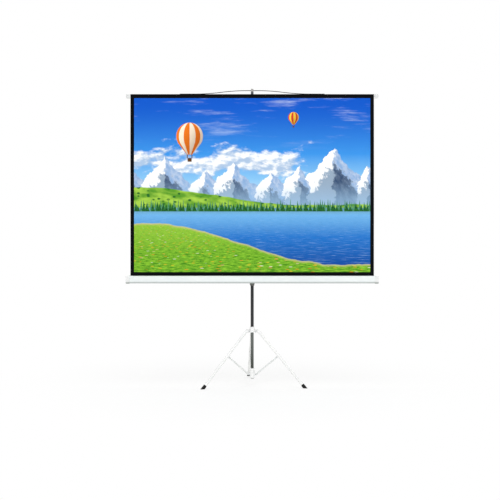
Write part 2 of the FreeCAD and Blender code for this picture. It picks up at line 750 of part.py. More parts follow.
def strap_edge(height):
    """The strap's bowed line at a height above the batten, from left to right, as joined edges."""
    tip = strap_length / 2
    foot = tip - strap_flat_end
    crown = strap_flat_middle / 2
    span = foot - crown
    radius = (span ** 2 + strap_rise ** 2) / (4 * strap_rise)
    base = batten_top_z + height

    def foot_arc(share):
        """Rise of the lower arc, which curves upwards, at a share of its length."""
        run = span / 2 * share
        return radius - math.sqrt(radius ** 2 - run ** 2)

    def half_line(side):
        """Edges from the strap's tip to the middle of its crown."""
        end = V(side * tip, 0, base)
        start = V(side * foot, 0, base)
        lower = V(side * (foot - span / 4), 0, base + foot_arc(1 / 2))
        bend = V(side * (foot - span / 2), 0, base + strap_rise / 2)
        upper = V(side * (crown + span / 4), 0, base + strap_rise - foot_arc(1 / 2))
        top = V(side * crown, 0, base + strap_rise)
        return [Part.LineSegment(end, start).toShape(), Part.Arc(start, lower, bend).toShape(),
                Part.Arc(bend, upper, top).toShape()]

    middle = Part.LineSegment(V(-crown, 0, base + strap_rise), V(crown, 0, base + strap_rise)).toShape()
    return half_line(-1) + [middle] + half_line(1)[::-1]


def strap_rivet_places():
    """Where the strap is riveted to the batten, along X."""
    first = strap_length / 2 - strap_rivet_inset
    return [side * (first - k * strap_rivet_spacing) for side in (-1, 1) for k in (0, 1)]


def build_batten():
    """Batten in the fabric's hem, with end caps, pull strap and strap rivets."""
    half = fabric_width / 2
    bar_end = half + batten_overhang
    rivets = []
    holes = []
    for x in strap_rivet_places():
        head_start = V(x, batten_mid_y, batten_top_z + strap_thickness)
        rivets.append(join(rod(head_start, UP, strap_rivet_head_radius, strap_rivet_head),
                           rod(head_start, -UP, strap_rivet_radius, strap_rivet_grip)))
        holes.append(rod(head_start + UP * strap_rivet_head, -UP, strap_rivet_radius,
                         strap_rivet_head + strap_rivet_grip))

    def section(start, length, growth):
        """A square-edged bar about the batten's middle, grown outwards or inwards."""
        return block(V(start, batten_front_y - growth, batten_bottom_z - growth),
                     V(start + length, batten_back_y + growth, batten_top_z + growth))

    hem = carve(section(-half, fabric_width, 0), section(-half, fabric_width, -hem_thickness), *holes)
    bar = carve(section(-bar_end, 2 * bar_end, -hem_thickness),
                section(-bar_end, 2 * bar_end, -hem_thickness - batten_wall), *holes)
    pieces = {"batten_hem": hem, "batten_bar": bar}
    rounds = [batten_cap_round] * 4
    for side, name in ((-1, "left"), (1, "right")):
        start = min(side * half, side * (half + batten_cap_length))
        cap = rounded_bar(start, batten_cap_length, batten_front_y - batten_cap_growth,
                          batten_back_y + batten_cap_growth, batten_bottom_z - batten_cap_growth,
                          batten_top_z + batten_cap_growth, rounds)
        pieces["batten_cap_" + name] = carve(cap, section(-bar_end, 2 * bar_end, -hem_thickness))
    lower = strap_edge(0)
    upper = strap_edge(strap_thickness)
    tips = [Part.LineSegment(V(side * strap_length / 2, 0, batten_top_z),
                             V(side * strap_length / 2, 0, batten_top_z + strap_thickness)).toShape()
            for side in (-1, 1)]
    face = Part.Face(Part.Wire(Part.__sortEdges__(lower + upper + tips)))
    face.translate(BACK * (batten_mid_y - strap_width / 2))
    pieces["pull_strap"] = carve(face.extrude(BACK * strap_width), *holes)
    pieces["strap_rivets"] = group(rivets)
    return pieces


def build_fabric():
    """The stretched sheet from the roller up to the batten."""
    sheet = block(V(-fabric_width / 2, fabric_front_y, case_mid_z),
                  V(fabric_width / 2, fabric_back_y, batten_bottom_z - seat_gap))
    return {"screen_fabric": sheet}


pieces = {}
for build in (build_column, build_lower_hub, build_collar, build_tripod, build_pole, build_carriage,
              build_case, build_roller, build_batten, build_fabric):
    pieces.update(build())

# The origin lies under the middle of the feet's depth, so the whole part is moved along Y
foot_boxes = [pieces["foot_" + name].optimalBoundingBox() for name in leg_azimuths]
middle_y = (max(box.YMax for box in foot_boxes) + min(box.YMin for box in foot_boxes)) / 2

os.makedirs("parts", exist_ok=True)
for name, shape in pieces.items():
    shape.translate(BACK * -middle_y)
    if not shape.isValid():
        print("not valid:", name)
    shape.exportStep("parts/" + name + ".step")
print(len(pieces), "pieces; column axis at y =", round(-middle_y, 3), "; fold drift", round(fold_drift, 3))
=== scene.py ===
"""Looks of a tripod projection screen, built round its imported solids.

Lengths are metres in the part's own frame: +Z up, +X along the case, the viewer on the -Y side.
"""

import json
import logging
import math
from abc import ABC, abstractmethod
from collections.abc import Callable
from dataclasses import dataclass, field
from enum import Enum
from typing import ClassVar

import bmesh
import bpy
import numpy as np
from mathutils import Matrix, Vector


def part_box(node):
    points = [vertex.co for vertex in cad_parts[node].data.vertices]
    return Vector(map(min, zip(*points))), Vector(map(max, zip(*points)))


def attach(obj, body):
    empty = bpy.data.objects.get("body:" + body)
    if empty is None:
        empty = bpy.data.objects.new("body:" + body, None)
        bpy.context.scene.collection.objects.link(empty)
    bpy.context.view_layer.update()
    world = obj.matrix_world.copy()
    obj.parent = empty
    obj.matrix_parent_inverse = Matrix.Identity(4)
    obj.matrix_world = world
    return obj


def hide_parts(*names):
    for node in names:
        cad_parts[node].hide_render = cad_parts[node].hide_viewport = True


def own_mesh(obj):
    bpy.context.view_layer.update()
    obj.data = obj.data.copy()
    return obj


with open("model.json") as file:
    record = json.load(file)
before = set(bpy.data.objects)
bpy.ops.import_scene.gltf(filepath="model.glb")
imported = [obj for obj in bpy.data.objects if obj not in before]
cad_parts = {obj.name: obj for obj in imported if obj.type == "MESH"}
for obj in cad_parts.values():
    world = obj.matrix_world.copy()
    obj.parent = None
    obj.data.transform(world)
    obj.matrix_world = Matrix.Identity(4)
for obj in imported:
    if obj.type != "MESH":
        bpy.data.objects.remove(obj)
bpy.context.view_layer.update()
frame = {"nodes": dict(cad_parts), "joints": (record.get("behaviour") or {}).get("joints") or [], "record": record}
LOG = logging.getLogger("projection_screen")

Colour = tuple[float, float, float, float]
Number = "Signal | float"
Span = tuple[float, float]
Lumps = tuple[float, float, float]
Place = tuple[float, float, float]


def box_of(node: str) -> tuple[np.ndarray, np.ndarray]:
    """Lowest and highest corner of a solid at rest."""
    low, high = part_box(node)
    return np.array(low), np.array(high)


CASE_FOOT = float(box_of("case_body")[0][2])
COLUMN_DEPTH = float(np.mean([corner[1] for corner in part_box("column_tube")]))


def ink(code: str) -> Colour:
    """Linear colour from a display code.

    Args:
        code: Red, green and blue as three hexadecimal pairs.

    Returns:
        Red, green, blue and alpha in linear light.
    """
    shown = np.array([int(code[k:k + 2], 16) for k in (0, 2, 4)]) / 255
    linear = np.where(shown <= 0.04045, shown / 12.92, ((shown + 0.055) / 1.055) ** 2.4)
    return (*linear.tolist(), 1.0)


def operator(operation: str, turned: bool = False) -> Callable:
    """A sum of a signal with another signal or a number.

    Args:
        operation: Blender's name of the sum.
        turned: Whether the signal comes second.

    Returns:
        The method for it.
    """
    def made(signal: "Signal", other: Number) -> "Signal":
        """The sum as a signal."""
        return signal.graph.math(operation, *((other, signal) if turned else (signal, other)))
    return made


class Signal:
    """A node's output that is added, subtracted, multiplied and divided like a number."""

    __add__ = __radd__ = operator("ADD")
    __sub__ = operator("SUBTRACT")
    __rsub__ = operator("SUBTRACT", turned=True)
    __mul__ = __rmul__ = operator("MULTIPLY")
    __truediv__ = operator("DIVIDE")
    __rtruediv__ = operator("DIVIDE", turned=True)

    def __init__(self, graph: "Graph", socket: bpy.types.NodeSocket) -> None:
        """Keeps the graph and the socket."""
        self.graph = graph
        self.socket = socket

    def __abs__(self) -> "Signal":
        """Size without sign."""
        return self.graph.math("ABSOLUTE", self)


class Graph:
    """A node tree with short calls for what the finishes and the picture need."""

    def __init__(self, tree: bpy.types.NodeTree) -> None:
        """Keeps the tree."""
        self.tree = tree

    def node(self, kind: str, feeds: dict | None = None, **settings: object) -> bpy.types.Node:
        """Adds a node.

        Args:
            kind: Blender's name of the node type.
            feeds: What goes into its inputs, by name or number.
            settings: Values of the node's own properties.

        Returns:
            The node.
        """
        made = self.tree.nodes.new(kind)
        for name, value in settings.items():
            setattr(made, name, value)
        for name, value in (feeds or {}).items():
            self.feed(made.inputs[name], value)
        return made

    def feed(self, socket: bpy.types.NodeSocket, value: object) -> None:
        """Links a signal to an input, or sets the input's own value.

        Args:
            socket: The input.
            value: A signal, a socket, a number or a colour.
        """
        source = value.socket if isinstance(value, Signal) else value
        if isinstance(source, bpy.types.NodeSocket):
            self.tree.links.new(source, socket)
        else:
            socket.default_value = source

    def out(self, node: bpy.types.Node, name: str | int = 0) -> Signal:
        """One output of a node as a signal."""
        return Signal(self, node.outputs[name])

    def math(self, operation: str, first: Number, second: Number = 0.0) -> Signal:
        """One sum on two numbers.

        Args:
            operation: Blender's name of the sum.
            first: First number.
            second: Second number.

        Returns:
            The result.
        """
        return self.out(self.node("ShaderNodeMath", {0: first, 1: second}, operation=operation))

    def rise(self, value: Number, low: Number, high: Number) -> Signal:
        """A smooth step from 0 at low to 1 at high, the other way round where low is the larger.

        Args:
            value: What is compared.
            low: Where the step starts.
            high: Where the step ends.

        Returns:
            A share from 0 to 1.
        """
        feeds = {0: value, 1: low, 2: high}
        return self.out(self.node("ShaderNodeMapRange", feeds, interpolation_type="SMOOTHSTEP"))

    def vector(self, x: Number, y: Number, z: Number = 0.0) -> Signal:
        """A vector from three numbers."""
        return self.out(self.node("ShaderNodeCombineXYZ", {0: x, 1: y, 2: z}))

    def noise(self, place: Signal, scale: Number, detail: float = 2.0,
              rough: float = 0.5) -> Signal:
        """Cloudy noise from 0 to 1.

        Args:
            place: Where it is read.
            scale: Lumps in a unit of length.
            detail: Number of finer layers.
            rough: Strength of each finer layer.

        Returns:
            The noise.
        """
        feeds = {"Vector": place, "Scale": scale, "Detail": detail, "Roughness": rough}
        return self.out(self.node("ShaderNodeTexNoise", feeds))

    def cells(self, place: Signal, scale: Number) -> tuple[Signal, Signal]:
        """Scattered cells.

        Args:
            place: Where they are read.
            scale: Cells in a unit of length.

        Returns:
            The distance to the cell's middle, and one random number for each cell.
        """
        node = self.node("ShaderNodeTexVoronoi", {"Vector": place, "Scale": scale})
        parts = self.node("ShaderNodeSeparateColor", {0: self.out(node, "Color")})
        return self.out(node, "Distance"), self.out(parts)

    def mix(self, share: Number, first: object, second: object, blend: str = "MIX") -> Signal:
        """Mixes two colours.

        Args:
            share: How much of the second shows.
            first: Colour or signal under it.
            second: Colour or signal over it.
            blend: Blender's name of the way they mix.

        Returns:
            The mixed colour.
        """
        node = self.node("ShaderNodeMix", {0: share, 6: first, 7: second}, data_type="RGBA",
                         blend_type=blend)
        return self.out(node, 2)

    def ramp(self, value: Number, stops: dict[float, str]) -> Signal:
        """Colours along a scale.

        Args:
            value: Place on the scale, from 0 to 1.
            stops: Display codes by place, in rising order.

        Returns:
            The colour.
        """
        node = self.node("ShaderNodeValToRGB", {0: value})
        band = node.color_ramp
        while len(band.elements) < len(stops):
            band.elements.new(1.0)
        for element, (place, code) in zip(band.elements, stops.items()):
            element.position = place
            element.color = ink(code)
        return self.out(node)

    def place(self) -> Signal:
        """The point's own place in the part's frame."""
        return self.out(self.node("ShaderNodeTexCoord"), "Object")

    def axes(self, place: Signal) -> tuple[Signal, Signal, Signal]:
        """The three numbers of a vector."""
        node = self.node("ShaderNodeSeparateXYZ", {0: place})
        return self.out(node, 0), self.out(node, 1), self.out(node, 2)


class Effect(Enum):
    """Surface effects that several finishes share, each one a node group."""

    GRAIN = ("Moulded grain", {"Scale": 900.0, "Patch": 6.0}, ("Height", "Patches"))
    LINES = ("Drawn lines", {"Along": 2.0, "Across": 700.0}, ("Upright", "Level"))
    DUST = ("Settled dust", {"Scale": 40.0}, ("Mask",))
    RUB = ("Rubbed edges", {"Radius": 0.0012}, ("Mask",))
    WEAVE = ("Cloth weave", {"Threads": 900.0}, ("Height", "Threads"))

    def __init__(self, label: str, inputs: dict[str, float], outputs: tuple[str, ...]) -> None:
        """Keeps the group's name, its inputs with their usual values, and its outputs.

        Args:
            label: Name of the group.
            inputs: Usual values by name.
            outputs: Names.
        """
        self.label = label
        self.inputs = inputs
        self.outputs = outputs


class Group(Graph):
    """The node group of one effect."""

    DUST_FACING: ClassVar[Span] = (0.25, 1.0)
    DUST_FLECKS: ClassVar[Span] = (0.38, 0.72)
    RUB_BEND: ClassVar[Span] = (0.97, 0.75)
    RUB_BREAKS: ClassVar[Span] = (0.35, 0.65)
    RUB_BREAK_SCALE: ClassVar[float] = 160.0
    UNEVEN_SHARE: ClassVar[float] = 0.13

    def __init__(self, effect: Effect) -> None:
        """Makes the group with its sockets and its nodes.

        Args:
            effect: Which effect.
        """
        super().__init__(bpy.data.node_groups.new(effect.label, "ShaderNodeTree"))
        for name in effect.inputs:
            self._socket(name, "INPUT").default_value = effect.inputs[name]
        for name in effect.outputs:
            self._socket(name, "OUTPUT")
        entry = self.node("NodeGroupInput")
        self.inputs = {name: self.out(entry, name) for name in effect.inputs}
        maker = {Effect.GRAIN: self._grain, Effect.LINES: self._lines, Effect.DUST: self._dust,
                 Effect.RUB: self._rub, Effect.WEAVE: self._weave}[effect]
        self.node("NodeGroupOutput", dict(zip(effect.outputs, maker())))

    def _socket(self, name: str, side: str) -> bpy.types.NodeTreeInterfaceSocket:
        """Adds a number's socket to the group."""
        sockets = self.tree.interface
        return sockets.new_socket(name, in_out=side, socket_type="NodeSocketFloat")

    def _grain(self) -> tuple[Signal, ...]:
        """Fine pits of a coat or a mould, and large soft patches.

        Returns:
            The pits' height and the patches.
        """
        place = self.place()
        pits = self.noise(place, self.inputs["Scale"], 3.0, 0.6)
        return pits, self.noise(place, self.inputs["Patch"], 4.0)

    def _lines(self) -> tuple[Signal, ...]:
        """Fine streaks along Z and along X: noise squeezed across the streak's own way.

        Returns:
            The upright and the level streaks.
        """
        x, y, z = self.axes(self.place())
        along, across = self.inputs["Along"], self.inputs["Across"]
        upright = self.noise(self.vector(x * across, y * across, z * along), 1.0, 3.0)
        level = self.noise(self.vector(x * along, y * across, z * across), 1.0, 3.0)
        return upright, level

    def _dust(self) -> tuple[Signal, ...]:
        """Dust where the surface looks up, broken by noise.

        Returns:
            The mask.
        """
        facing = self.axes(self.out(self.node("ShaderNodeNewGeometry"), "Normal"))[2]
        flecks = self.noise(self.place(), self.inputs["Scale"], 6.0, 0.65)
        return (self.rise(facing, *self.DUST_FACING) * self.rise(flecks, *self.DUST_FLECKS),)

    def _rub(self) -> tuple[Signal, ...]:
        """Sharp edges, where a rounded normal leaves the true one, broken by noise.

        Returns:
            The mask.
        """
        true = self.out(self.node("ShaderNodeNewGeometry"), "Normal")
        soft = self.out(self.node("ShaderNodeBevel", {"Radius": self.inputs["Radius"]}, samples=4))
        meet = self.node("ShaderNodeVectorMath", {0: true, 1: soft}, operation="DOT_PRODUCT")
        noise = self.noise(self.place(), self.RUB_BREAK_SCALE, 3.0)
        breaks = self.rise(noise, *self.RUB_BREAKS)
        return (self.rise(self.out(meet, "Value"), *self.RUB_BEND) * breaks,)

    def _weave(self) -> tuple[Signal, ...]:
        """Crossed threads: the higher of two waves, one for each way, with uneven thickness.

        Returns:
            The height and the unevenness.
        """
        x, _, z = self.axes(self.place())
        threads = self.inputs["Threads"]
        turn = threads * (2 * math.pi)
        warp = self.math("SINE", x * turn)
        weft = self.math("SINE", z * turn)
        uneven = self.noise(self.vector(x, 0.0, z), threads * self.UNEVEN_SHARE, 2.0)
        return self.math("MAXIMUM", warp, weft) * 0.5 + 0.5, uneven


GROUPS: dict[Effect, Group] = {}


def placed(graph: Graph, effect: Effect, **values: float) -> dict[str, Signal]:
    """Puts an effect into a material, its group made on first use.

    Args:
        graph: The material's graph.
        effect: Which effect.
        values: Its inputs for this material.

    Returns:
        Its outputs by name.
    """
    if effect not in GROUPS:
        GROUPS[effect] = Group(effect)
    node = graph.node("ShaderNodeGroup", node_tree=GROUPS[effect].tree)
    for name, value in values.items():
        node.inputs[name].default_value = value
    return {name: graph.out(node, name) for name in effect.outputs}


@dataclass
class Coat:
    """A new node material, its graph and its shader."""

    name: str

    def __post_init__(self) -> None:
        """Makes the material."""
        self.material = bpy.data.materials.new(self.name)
        self.material.use_nodes = True
        self.graph = Graph(self.material.node_tree)
        self.shader = self.material.node_tree.nodes["Principled BSDF"]

    def surface(self, base: Signal, rough: Signal, height: Signal) -> None:
        """Feeds the shader.

        Args:
            base: Colour.
            rough: Roughness.
            height: Height of the bump, in metres.
        """
        bump = self.graph.node("ShaderNodeBump", {"Height": height, "Distance": 1.0})
        feeds = {"Base Color": base, "Roughness": rough, "Normal": self.graph.out(bump)}
        for name, value in feeds.items():
            self.graph.feed(self.shader.inputs[name], value)


@dataclass(frozen=True)
class Finish:
    """A hard surface: its colours, gloss, grain, drawn lines, rubbed edges, painted shade and dust."""

    name: str
    colour: str
    patch: str
    roughness: float
    metallic: float = 0.0
    specular: float = 0.5
    coat: float = 0.0
    grain: float = 900.0
    grain_depth: float = 0.00004
    line_along: float = 0.0
    line_level: bool = False
    line_depth: float = 0.0
    line_tint: float = 0.0
    dust: float = 0.25
    rub: float = 0.0
    rubbed: str = "b9babb"
    # Painted shade: a darker colour laid on between two heights, standing in for shade.
    painted_shade: str = ""
    painted_shade_from: float = 0.0
    painted_shade_to: float = 0.0

    PATCH_SCALE: ClassVar[float] = 5.0
    PATCH_SPAN: ClassVar[Span] = (0.3, 0.7)
    PATCH_ROUGH: ClassVar[float] = 0.16
    LINE_ACROSS: ClassVar[float] = 900.0
    LINE_SPAN: ClassVar[Span] = (0.35, 0.7)
    LINE_ROUGH: ClassVar[float] = 0.25
    PAINTED_SHADE_RAGGED: ClassVar[float] = 0.004
    DUST_SCALE: ClassVar[float] = 45.0
    DUST_COLOUR: ClassVar[str] = "c9c5bd"
    DUST_ROUGH: ClassVar[float] = 0.3

    def material(self) -> bpy.types.Material:
        """Builds the finish.

        Returns:
            The node material.
        """
        made = Coat(self.name)
        graph = made.graph
        grain = placed(graph, Effect.GRAIN, Scale=self.grain, Patch=self.PATCH_SCALE)
        patches = graph.rise(grain["Patches"], *self.PATCH_SPAN)
        base = graph.mix(patches, ink(self.colour), ink(self.patch))
        height = grain["Height"] * self.grain_depth
        rough = grain["Patches"] * self.PATCH_ROUGH + (self.roughness - self.PATCH_ROUGH / 2)
        if self.line_along:
            both = placed(graph, Effect.LINES, Along=self.line_along, Across=self.LINE_ACROSS)
            lines = both["Level" if self.line_level else "Upright"]
            tint = graph.rise(lines, *self.LINE_SPAN) * self.line_tint
            base = graph.mix(tint, base, ink(self.rubbed))
            height = height + lines * self.line_depth
            rough = rough + (lines - 0.5) * self.LINE_ROUGH
        if self.rub:
            worn = placed(graph, Effect.RUB)["Mask"] * self.rub
            base = graph.mix(worn, base, ink(self.rubbed))
        # Painted shade: the colour darkens from the first height to the second, with a slightly ragged edge.
        if self.painted_shade:
            ragged = (grain["Patches"] - 0.5) * self.PAINTED_SHADE_RAGGED
            level = graph.axes(graph.place())[2] + ragged
            painted_shade_share = graph.rise(level, self.painted_shade_from, self.painted_shade_to)
            base = graph.mix(painted_shade_share, base, ink(self.painted_shade))
        dust = placed(graph, Effect.DUST, Scale=self.DUST_SCALE)["Mask"] * self.dust
        base = graph.mix(dust, base, ink(self.DUST_COLOUR))
        made.surface(base, rough + dust * self.DUST_ROUGH, height)
        made.shader.inputs["Metallic"].default_value = self.metallic
        made.shader.inputs["Specular IOR Level"].default_value = self.specular
        made.shader.inputs["Coat Weight"].default_value = self.coat
        return made.material


class Surface(Enum):
    """The hard finishes of this screen."""

    WHITE_COAT = Finish("White powder coat", "f5f5f4", "eeefee", 0.36, coat=0.15, grain=700.0,
                        grain_depth=0.00005, dust=0.12, rub=0.35)
    # Painted shade: grey along the bottom edge, standing in for the shade under the case's rounded lower edge.
    CASE_COAT = Finish("White case coat", "edf2f2", "e6eced", 0.36, coat=0.15, grain=700.0,
                       grain_depth=0.00005, dust=0.12, rub=0.35, painted_shade="b3bab8",
                       painted_shade_from=CASE_FOOT + 0.021, painted_shade_to=CASE_FOOT + 0.004)
    BRACE_COAT = Finish("Off-white powder coat", "e9ebea", "dfe2e1", 0.42, grain=650.0, dust=0.15,
                        rub=0.5, rubbed="9a9c9c")
    WHITE_MOULDING = Finish("White moulded plastic", "f6f6f6", "eeefef", 0.42, grain=1400.0,
                            dust=0.06)
    # Painted shade: the caps grey towards the bottom, continuing the painted shade along the case's bottom edge.
    CAP_MOULDING = Finish("White cap moulding", "eceded", "e3e5e5", 0.42, grain=1400.0, dust=0.12,
                          painted_shade="a3aaa5", painted_shade_from=CASE_FOOT + 0.018, painted_shade_to=CASE_FOOT + 0.004)
    PALE_MOULDING = Finish("Pale moulded plastic", "dddede", "d3d5d5", 0.42, grain=1400.0,
                           dust=0.12)
    GREY_MOULDING = Finish("Grey moulded plastic", "656560", "5a5b57", 0.5, grain=1300.0, dust=0.3,
                           rub=0.3, rubbed="8b8c88")
    BLACK_MOULDING = Finish("Black moulded plastic", "232425", "1b1c1d", 0.5, grain=1300.0,
                            grain_depth=0.00006, dust=0.28, rub=0.3, rubbed="4b4c4e")
    RUBBER = Finish("Black rubber", "0d0d0e", "151516", 0.8, specular=0.25, grain=900.0,
                    grain_depth=0.00008, dust=0.28, rub=0.35, rubbed="3a3a3a")
    # Painted shade: the column darkens from 0.42 m down to 0.14 m, standing in for the dimmer light low on the
    # tube.
    COLUMN_COAT = Finish("Grey column coat", "5f6461", "535752", 0.38, metallic=0.2, line_along=2.5,
                         line_depth=0.00002, line_tint=0.2, dust=0.1, rubbed="8f9492",
                         painted_shade="3c403a", painted_shade_from=0.42, painted_shade_to=0.14)
    VINYL = Finish("Black vinyl sleeve", "2a2b2c", "222324", 0.5, specular=0.2, grain=500.0,
                   line_along=3.0, line_depth=0.00002, line_tint=0.10, dust=0.1, rubbed="66686a")
    POLE_COAT = Finish("Dark pole coat", "3f4146", "36383d", 0.34, metallic=0.5, line_along=1.5,
                       line_depth=0.00002, line_tint=0.25, dust=0.12, rubbed="8e9196")
    STRAP_STEEL = Finish("Dark spring steel", "211f1e", "1a1918", 0.5, specular=0.2, line_along=2.0,
                         line_level=True, line_depth=0.00002, line_tint=0.2, dust=0.06,
                         rubbed="4d4b48")
    HOOK_METAL = Finish("Cast hook metal", "a9a7a4", "9a9895", 0.45, metallic=0.25, grain=800.0,
                        grain_depth=0.00007, dust=0.1, rub=0.4, rubbed="d6d6d6")
    ZINC = Finish("Bright zinc plate", "c3c6c8", "aeb1b3", 0.3, metallic=0.9, grain=500.0,
                  dust=0.12)
    ALUMINIUM = Finish("Mill aluminium", "c9cbcd", "bcbfc1", 0.34, metallic=0.9, line_along=1.2,
                       line_level=True, line_depth=0.00002, line_tint=0.2, dust=0.1,
                       rubbed="e6e7e8")
    SPRING_STEEL = Finish("Oiled spring steel", "54555a", "44454a", 0.36, metallic=0.85,
                          grain=700.0, dust=0.0)


@dataclass(frozen=True)
class BlackCloth:
    """Matt black coated cloth of the hem and, a little paler, of the sheet's back."""

    name: str = "Black coated cloth"
    colour: str = "040507"
    thread: str = "090a0d"
    patch: str = "121316"
    specular: float = 0.06
    threads: float = 800.0
    depth: float = 0.00006
    patch_share: float = 0.35

    GRAIN_SCALE: ClassVar[float] = 300.0
    PATCH_SCALE: ClassVar[float] = 4.0
    PATCH_SPAN: ClassVar[Span] = (0.45, 0.75)
    ROUGH: ClassVar[Span] = (0.12, 0.78)

    def material(self) -> bpy.types.Material:
        """Builds the cloth.

        Returns:
            The node material.
        """
        made = Coat(self.name)
        graph = made.graph
        weave = placed(graph, Effect.WEAVE, Threads=self.threads)
        grain = placed(graph, Effect.GRAIN, Scale=self.GRAIN_SCALE, Patch=self.PATCH_SCALE)
        base = graph.mix(weave["Threads"], ink(self.colour), ink(self.thread))
        patches = graph.rise(grain["Patches"], *self.PATCH_SPAN) * self.patch_share
        base = graph.mix(patches, base, ink(self.patch))
        height = weave["Height"] * self.depth + grain["Height"] * (self.depth / 2)
        swing, least = self.ROUGH
        made.surface(base, grain["Patches"] * swing + least, height)
        made.shader.inputs["Specular IOR Level"].default_value = self.specular
        return made.material


@dataclass(frozen=True)
class Balloon:
    """A striped hot-air balloon: its place in the picture, and forms in shares of its radius."""

    across: float
    up: float
    radius: float
    first: str
    second: str
    gores: float = 7.0
    shoulder: float = -0.5
    mouth: float = -1.35
    taper: float = 0.76
    edge: float = 0.05
    mouth_edge: float = 0.02
    least_half: float = 0.01
    basket_top: float = -1.58
    basket_bottom: float = -1.86
    basket_half: float = 0.17
    basket_edge: float = 0.04
    rope: Span = (0.045, 0.02)
    soft: float = 0.03
    light: Span = (0.8, 0.6)
    lit_span: Span = (-1.1, 0.9)
    shade: float = 0.55
    shade_colour: str = "6b2d10"
    basket_colour: str = "5a3a1e"

    def paint(self, art: "Painting") -> None:
        """Paints the balloon.

        A point is inside where its distance from the middle line is under the half width: that of a
        circle above the shoulder, and of a straight taper from there down to the mouth.

        Args:
            art: The picture so far.
        """
        graph = art.graph
        x = (art.u - self.across) / self.radius
        y = (art.w - self.up) / self.radius
        circle = graph.math("SQRT", graph.math("MAXIMUM", 1.0 - y * y, 0.0))
        cone = (y - self.shoulder) * self.taper + math.sqrt(1 - self.shoulder ** 2)
        below = graph.math("LESS_THAN", y, self.shoulder)
        half = below * cone + (1.0 - below) * circle
        inside = (graph.rise(abs(x), half, half - self.edge)
                  * graph.rise(y, self.mouth - self.mouth_edge, self.mouth + self.mouth_edge))
        turn = graph.math("ARCSINE", x / graph.math("MAXIMUM", half, self.least_half))
        share = turn * (self.gores / math.pi)
        stripe = graph.math("GREATER_THAN", graph.math("PINGPONG", share + 0.5, 1.0), 0.5)
        skin = graph.mix(stripe, ink(self.first), ink(self.second))
        lit = graph.rise(y * self.light[1] - x * self.light[0], *self.lit_span)
        skin = graph.mix(lit, graph.mix(self.shade, skin, ink(self.shade_colour)), skin)
        art.lay(inside, skin)
        basket = (graph.rise(abs(x), self.basket_half, self.basket_half - self.basket_edge)
                  * graph.rise(y, self.basket_bottom - self.soft, self.basket_bottom + self.soft)
                  * graph.rise(y, self.basket_top + self.soft, self.basket_top - self.soft))
        ropes = (graph.rise(abs(abs(x) - self.basket_half), *self.rope)
                 * graph.rise(y, self.basket_top - self.soft, self.basket_top)
                 * graph.rise(y, self.mouth + self.soft, self.mouth))
        art.lay(graph.math("MAXIMUM", basket, ropes), ink(self.basket_colour))


@dataclass(frozen=True)
class Clouds:
    """A bank of heaped clouds and the thin streaks above it."""

    height: float = 0.47
    reach: float = 0.13
    end: Span = (0.98, 0.55)
    bank: float = 0.3
    heaps: Lumps = (5.5, 7.0, 0.58)
    flat: float = 1.8
    span: Span = (0.68, 0.8)
    shift: Span = (-0.012, 0.02)
    light: Span = (-0.05, 0.07)
    streaks: Lumps = (1.6, 6.0, 0.6)
    stretch: Lumps = (2.1, 1.2, 15.0)
    streak_span: Span = (0.52, 0.8)
    streak_height: Span = (0.5, 0.66)
    streak_weight: float = 0.6


@dataclass(frozen=True)
class Hills:
    """A range of hazy hills: height of its foot, height of its lumps, seed and colour."""

    foot: float
    height: float
    seed: float
    colour: str
    lumps: Lumps = (6.0, 5.0, 0.55)
    haze: str = "b7d6ef"
    haze_depth: float = 0.08
    haze_weight: float = 0.5
    soft: float = 0.0015


@dataclass(frozen=True)
class Mountains:
    """Snowy mountains: place, height and half width of each peak, and how rock and snow lie."""

    foot: float = 0.30
    peaks: tuple[Place, ...] = (
        (-0.02, 0.14, 0.16), (0.13, 0.19, 0.17), (0.30, 0.13, 0.13), (0.42, 0.165, 0.15),
        (0.58, 0.12, 0.14), (0.70, 0.15, 0.13), (0.845, 0.225, 0.19), (0.99, 0.15, 0.15))
    crags: Lumps = (16.0, 6.0, 0.62)
    crag_size: float = 0.085
    edge: float = 0.004
    rocks: Lumps = (34.0, 6.0, 0.65)
    stretch: Lumps = (1.6, 0.6, 0.9)
    weights: Span = (0.55, 0.9)
    light: Span = (0.3, 0.95)
    snow_depth: float = 0.075
    snow_edge: float = 0.018
    snow_ragged: float = 0.16
    haze: Span = (0.40, 0.27)
    haze_weight: float = 0.65
    soft: float = 0.0012


@dataclass(frozen=True)
class Hill:
    """A grass hill that falls from the left, with bushes on it."""

    foot: float = 0.285
    rise: float = 0.075
    end: float = 0.72
    lumps: Span = (7.0, 3.0)
    lump_size: float = 0.03
    seed: float = 1.7
    slopes: Lumps = (11.0, 5.0, 0.5)
    lean: Span = (2.4, 0.4)
    slope_span: Span = (0.36, 0.64)
    bushes: float = 46.0
    bush_flat: float = 1.6
    bush_span: Span = (0.42, 0.25)
    bush_chance: Span = (0.62, 0.7)
    soft: float = 0.001


@dataclass(frozen=True)
class Lake:
    """Rippled water up to a level shore."""

    top: float = 0.272
    ripples: Lumps = (4.0, 5.0, 0.6)
    stretch: Span = (0.8, 6.0)
    crests: Span = (0.54, 0.72)
    crest_weight: float = 0.55
    troughs: Span = (0.46, 0.3)
    trough_weight: float = 0.45
    shade: float = 0.035
    shade_weight: float = 0.6
    soft: float = 0.001


@dataclass(frozen=True)
class Firs:
    """A row of firs: trees across the picture, height of a common one, and two colours."""

    count: float
    height: float
    dark: str
    light: str
    foot: float = 0.262
    ground: Span = (0.006, 0.004)
    sizes: Span = (0.8, 0.6)
    edge: float = 0.011
    edge_stretch: float = 3.0
    edge_lumps: Span = (190.0, 2.0)
    needles: Lumps = (130.0, 4.0, 0.6)
    needle_stretch: float = 2.2
    needle_span: Span = (0.35, 0.65)
    soft: float = 0.0012


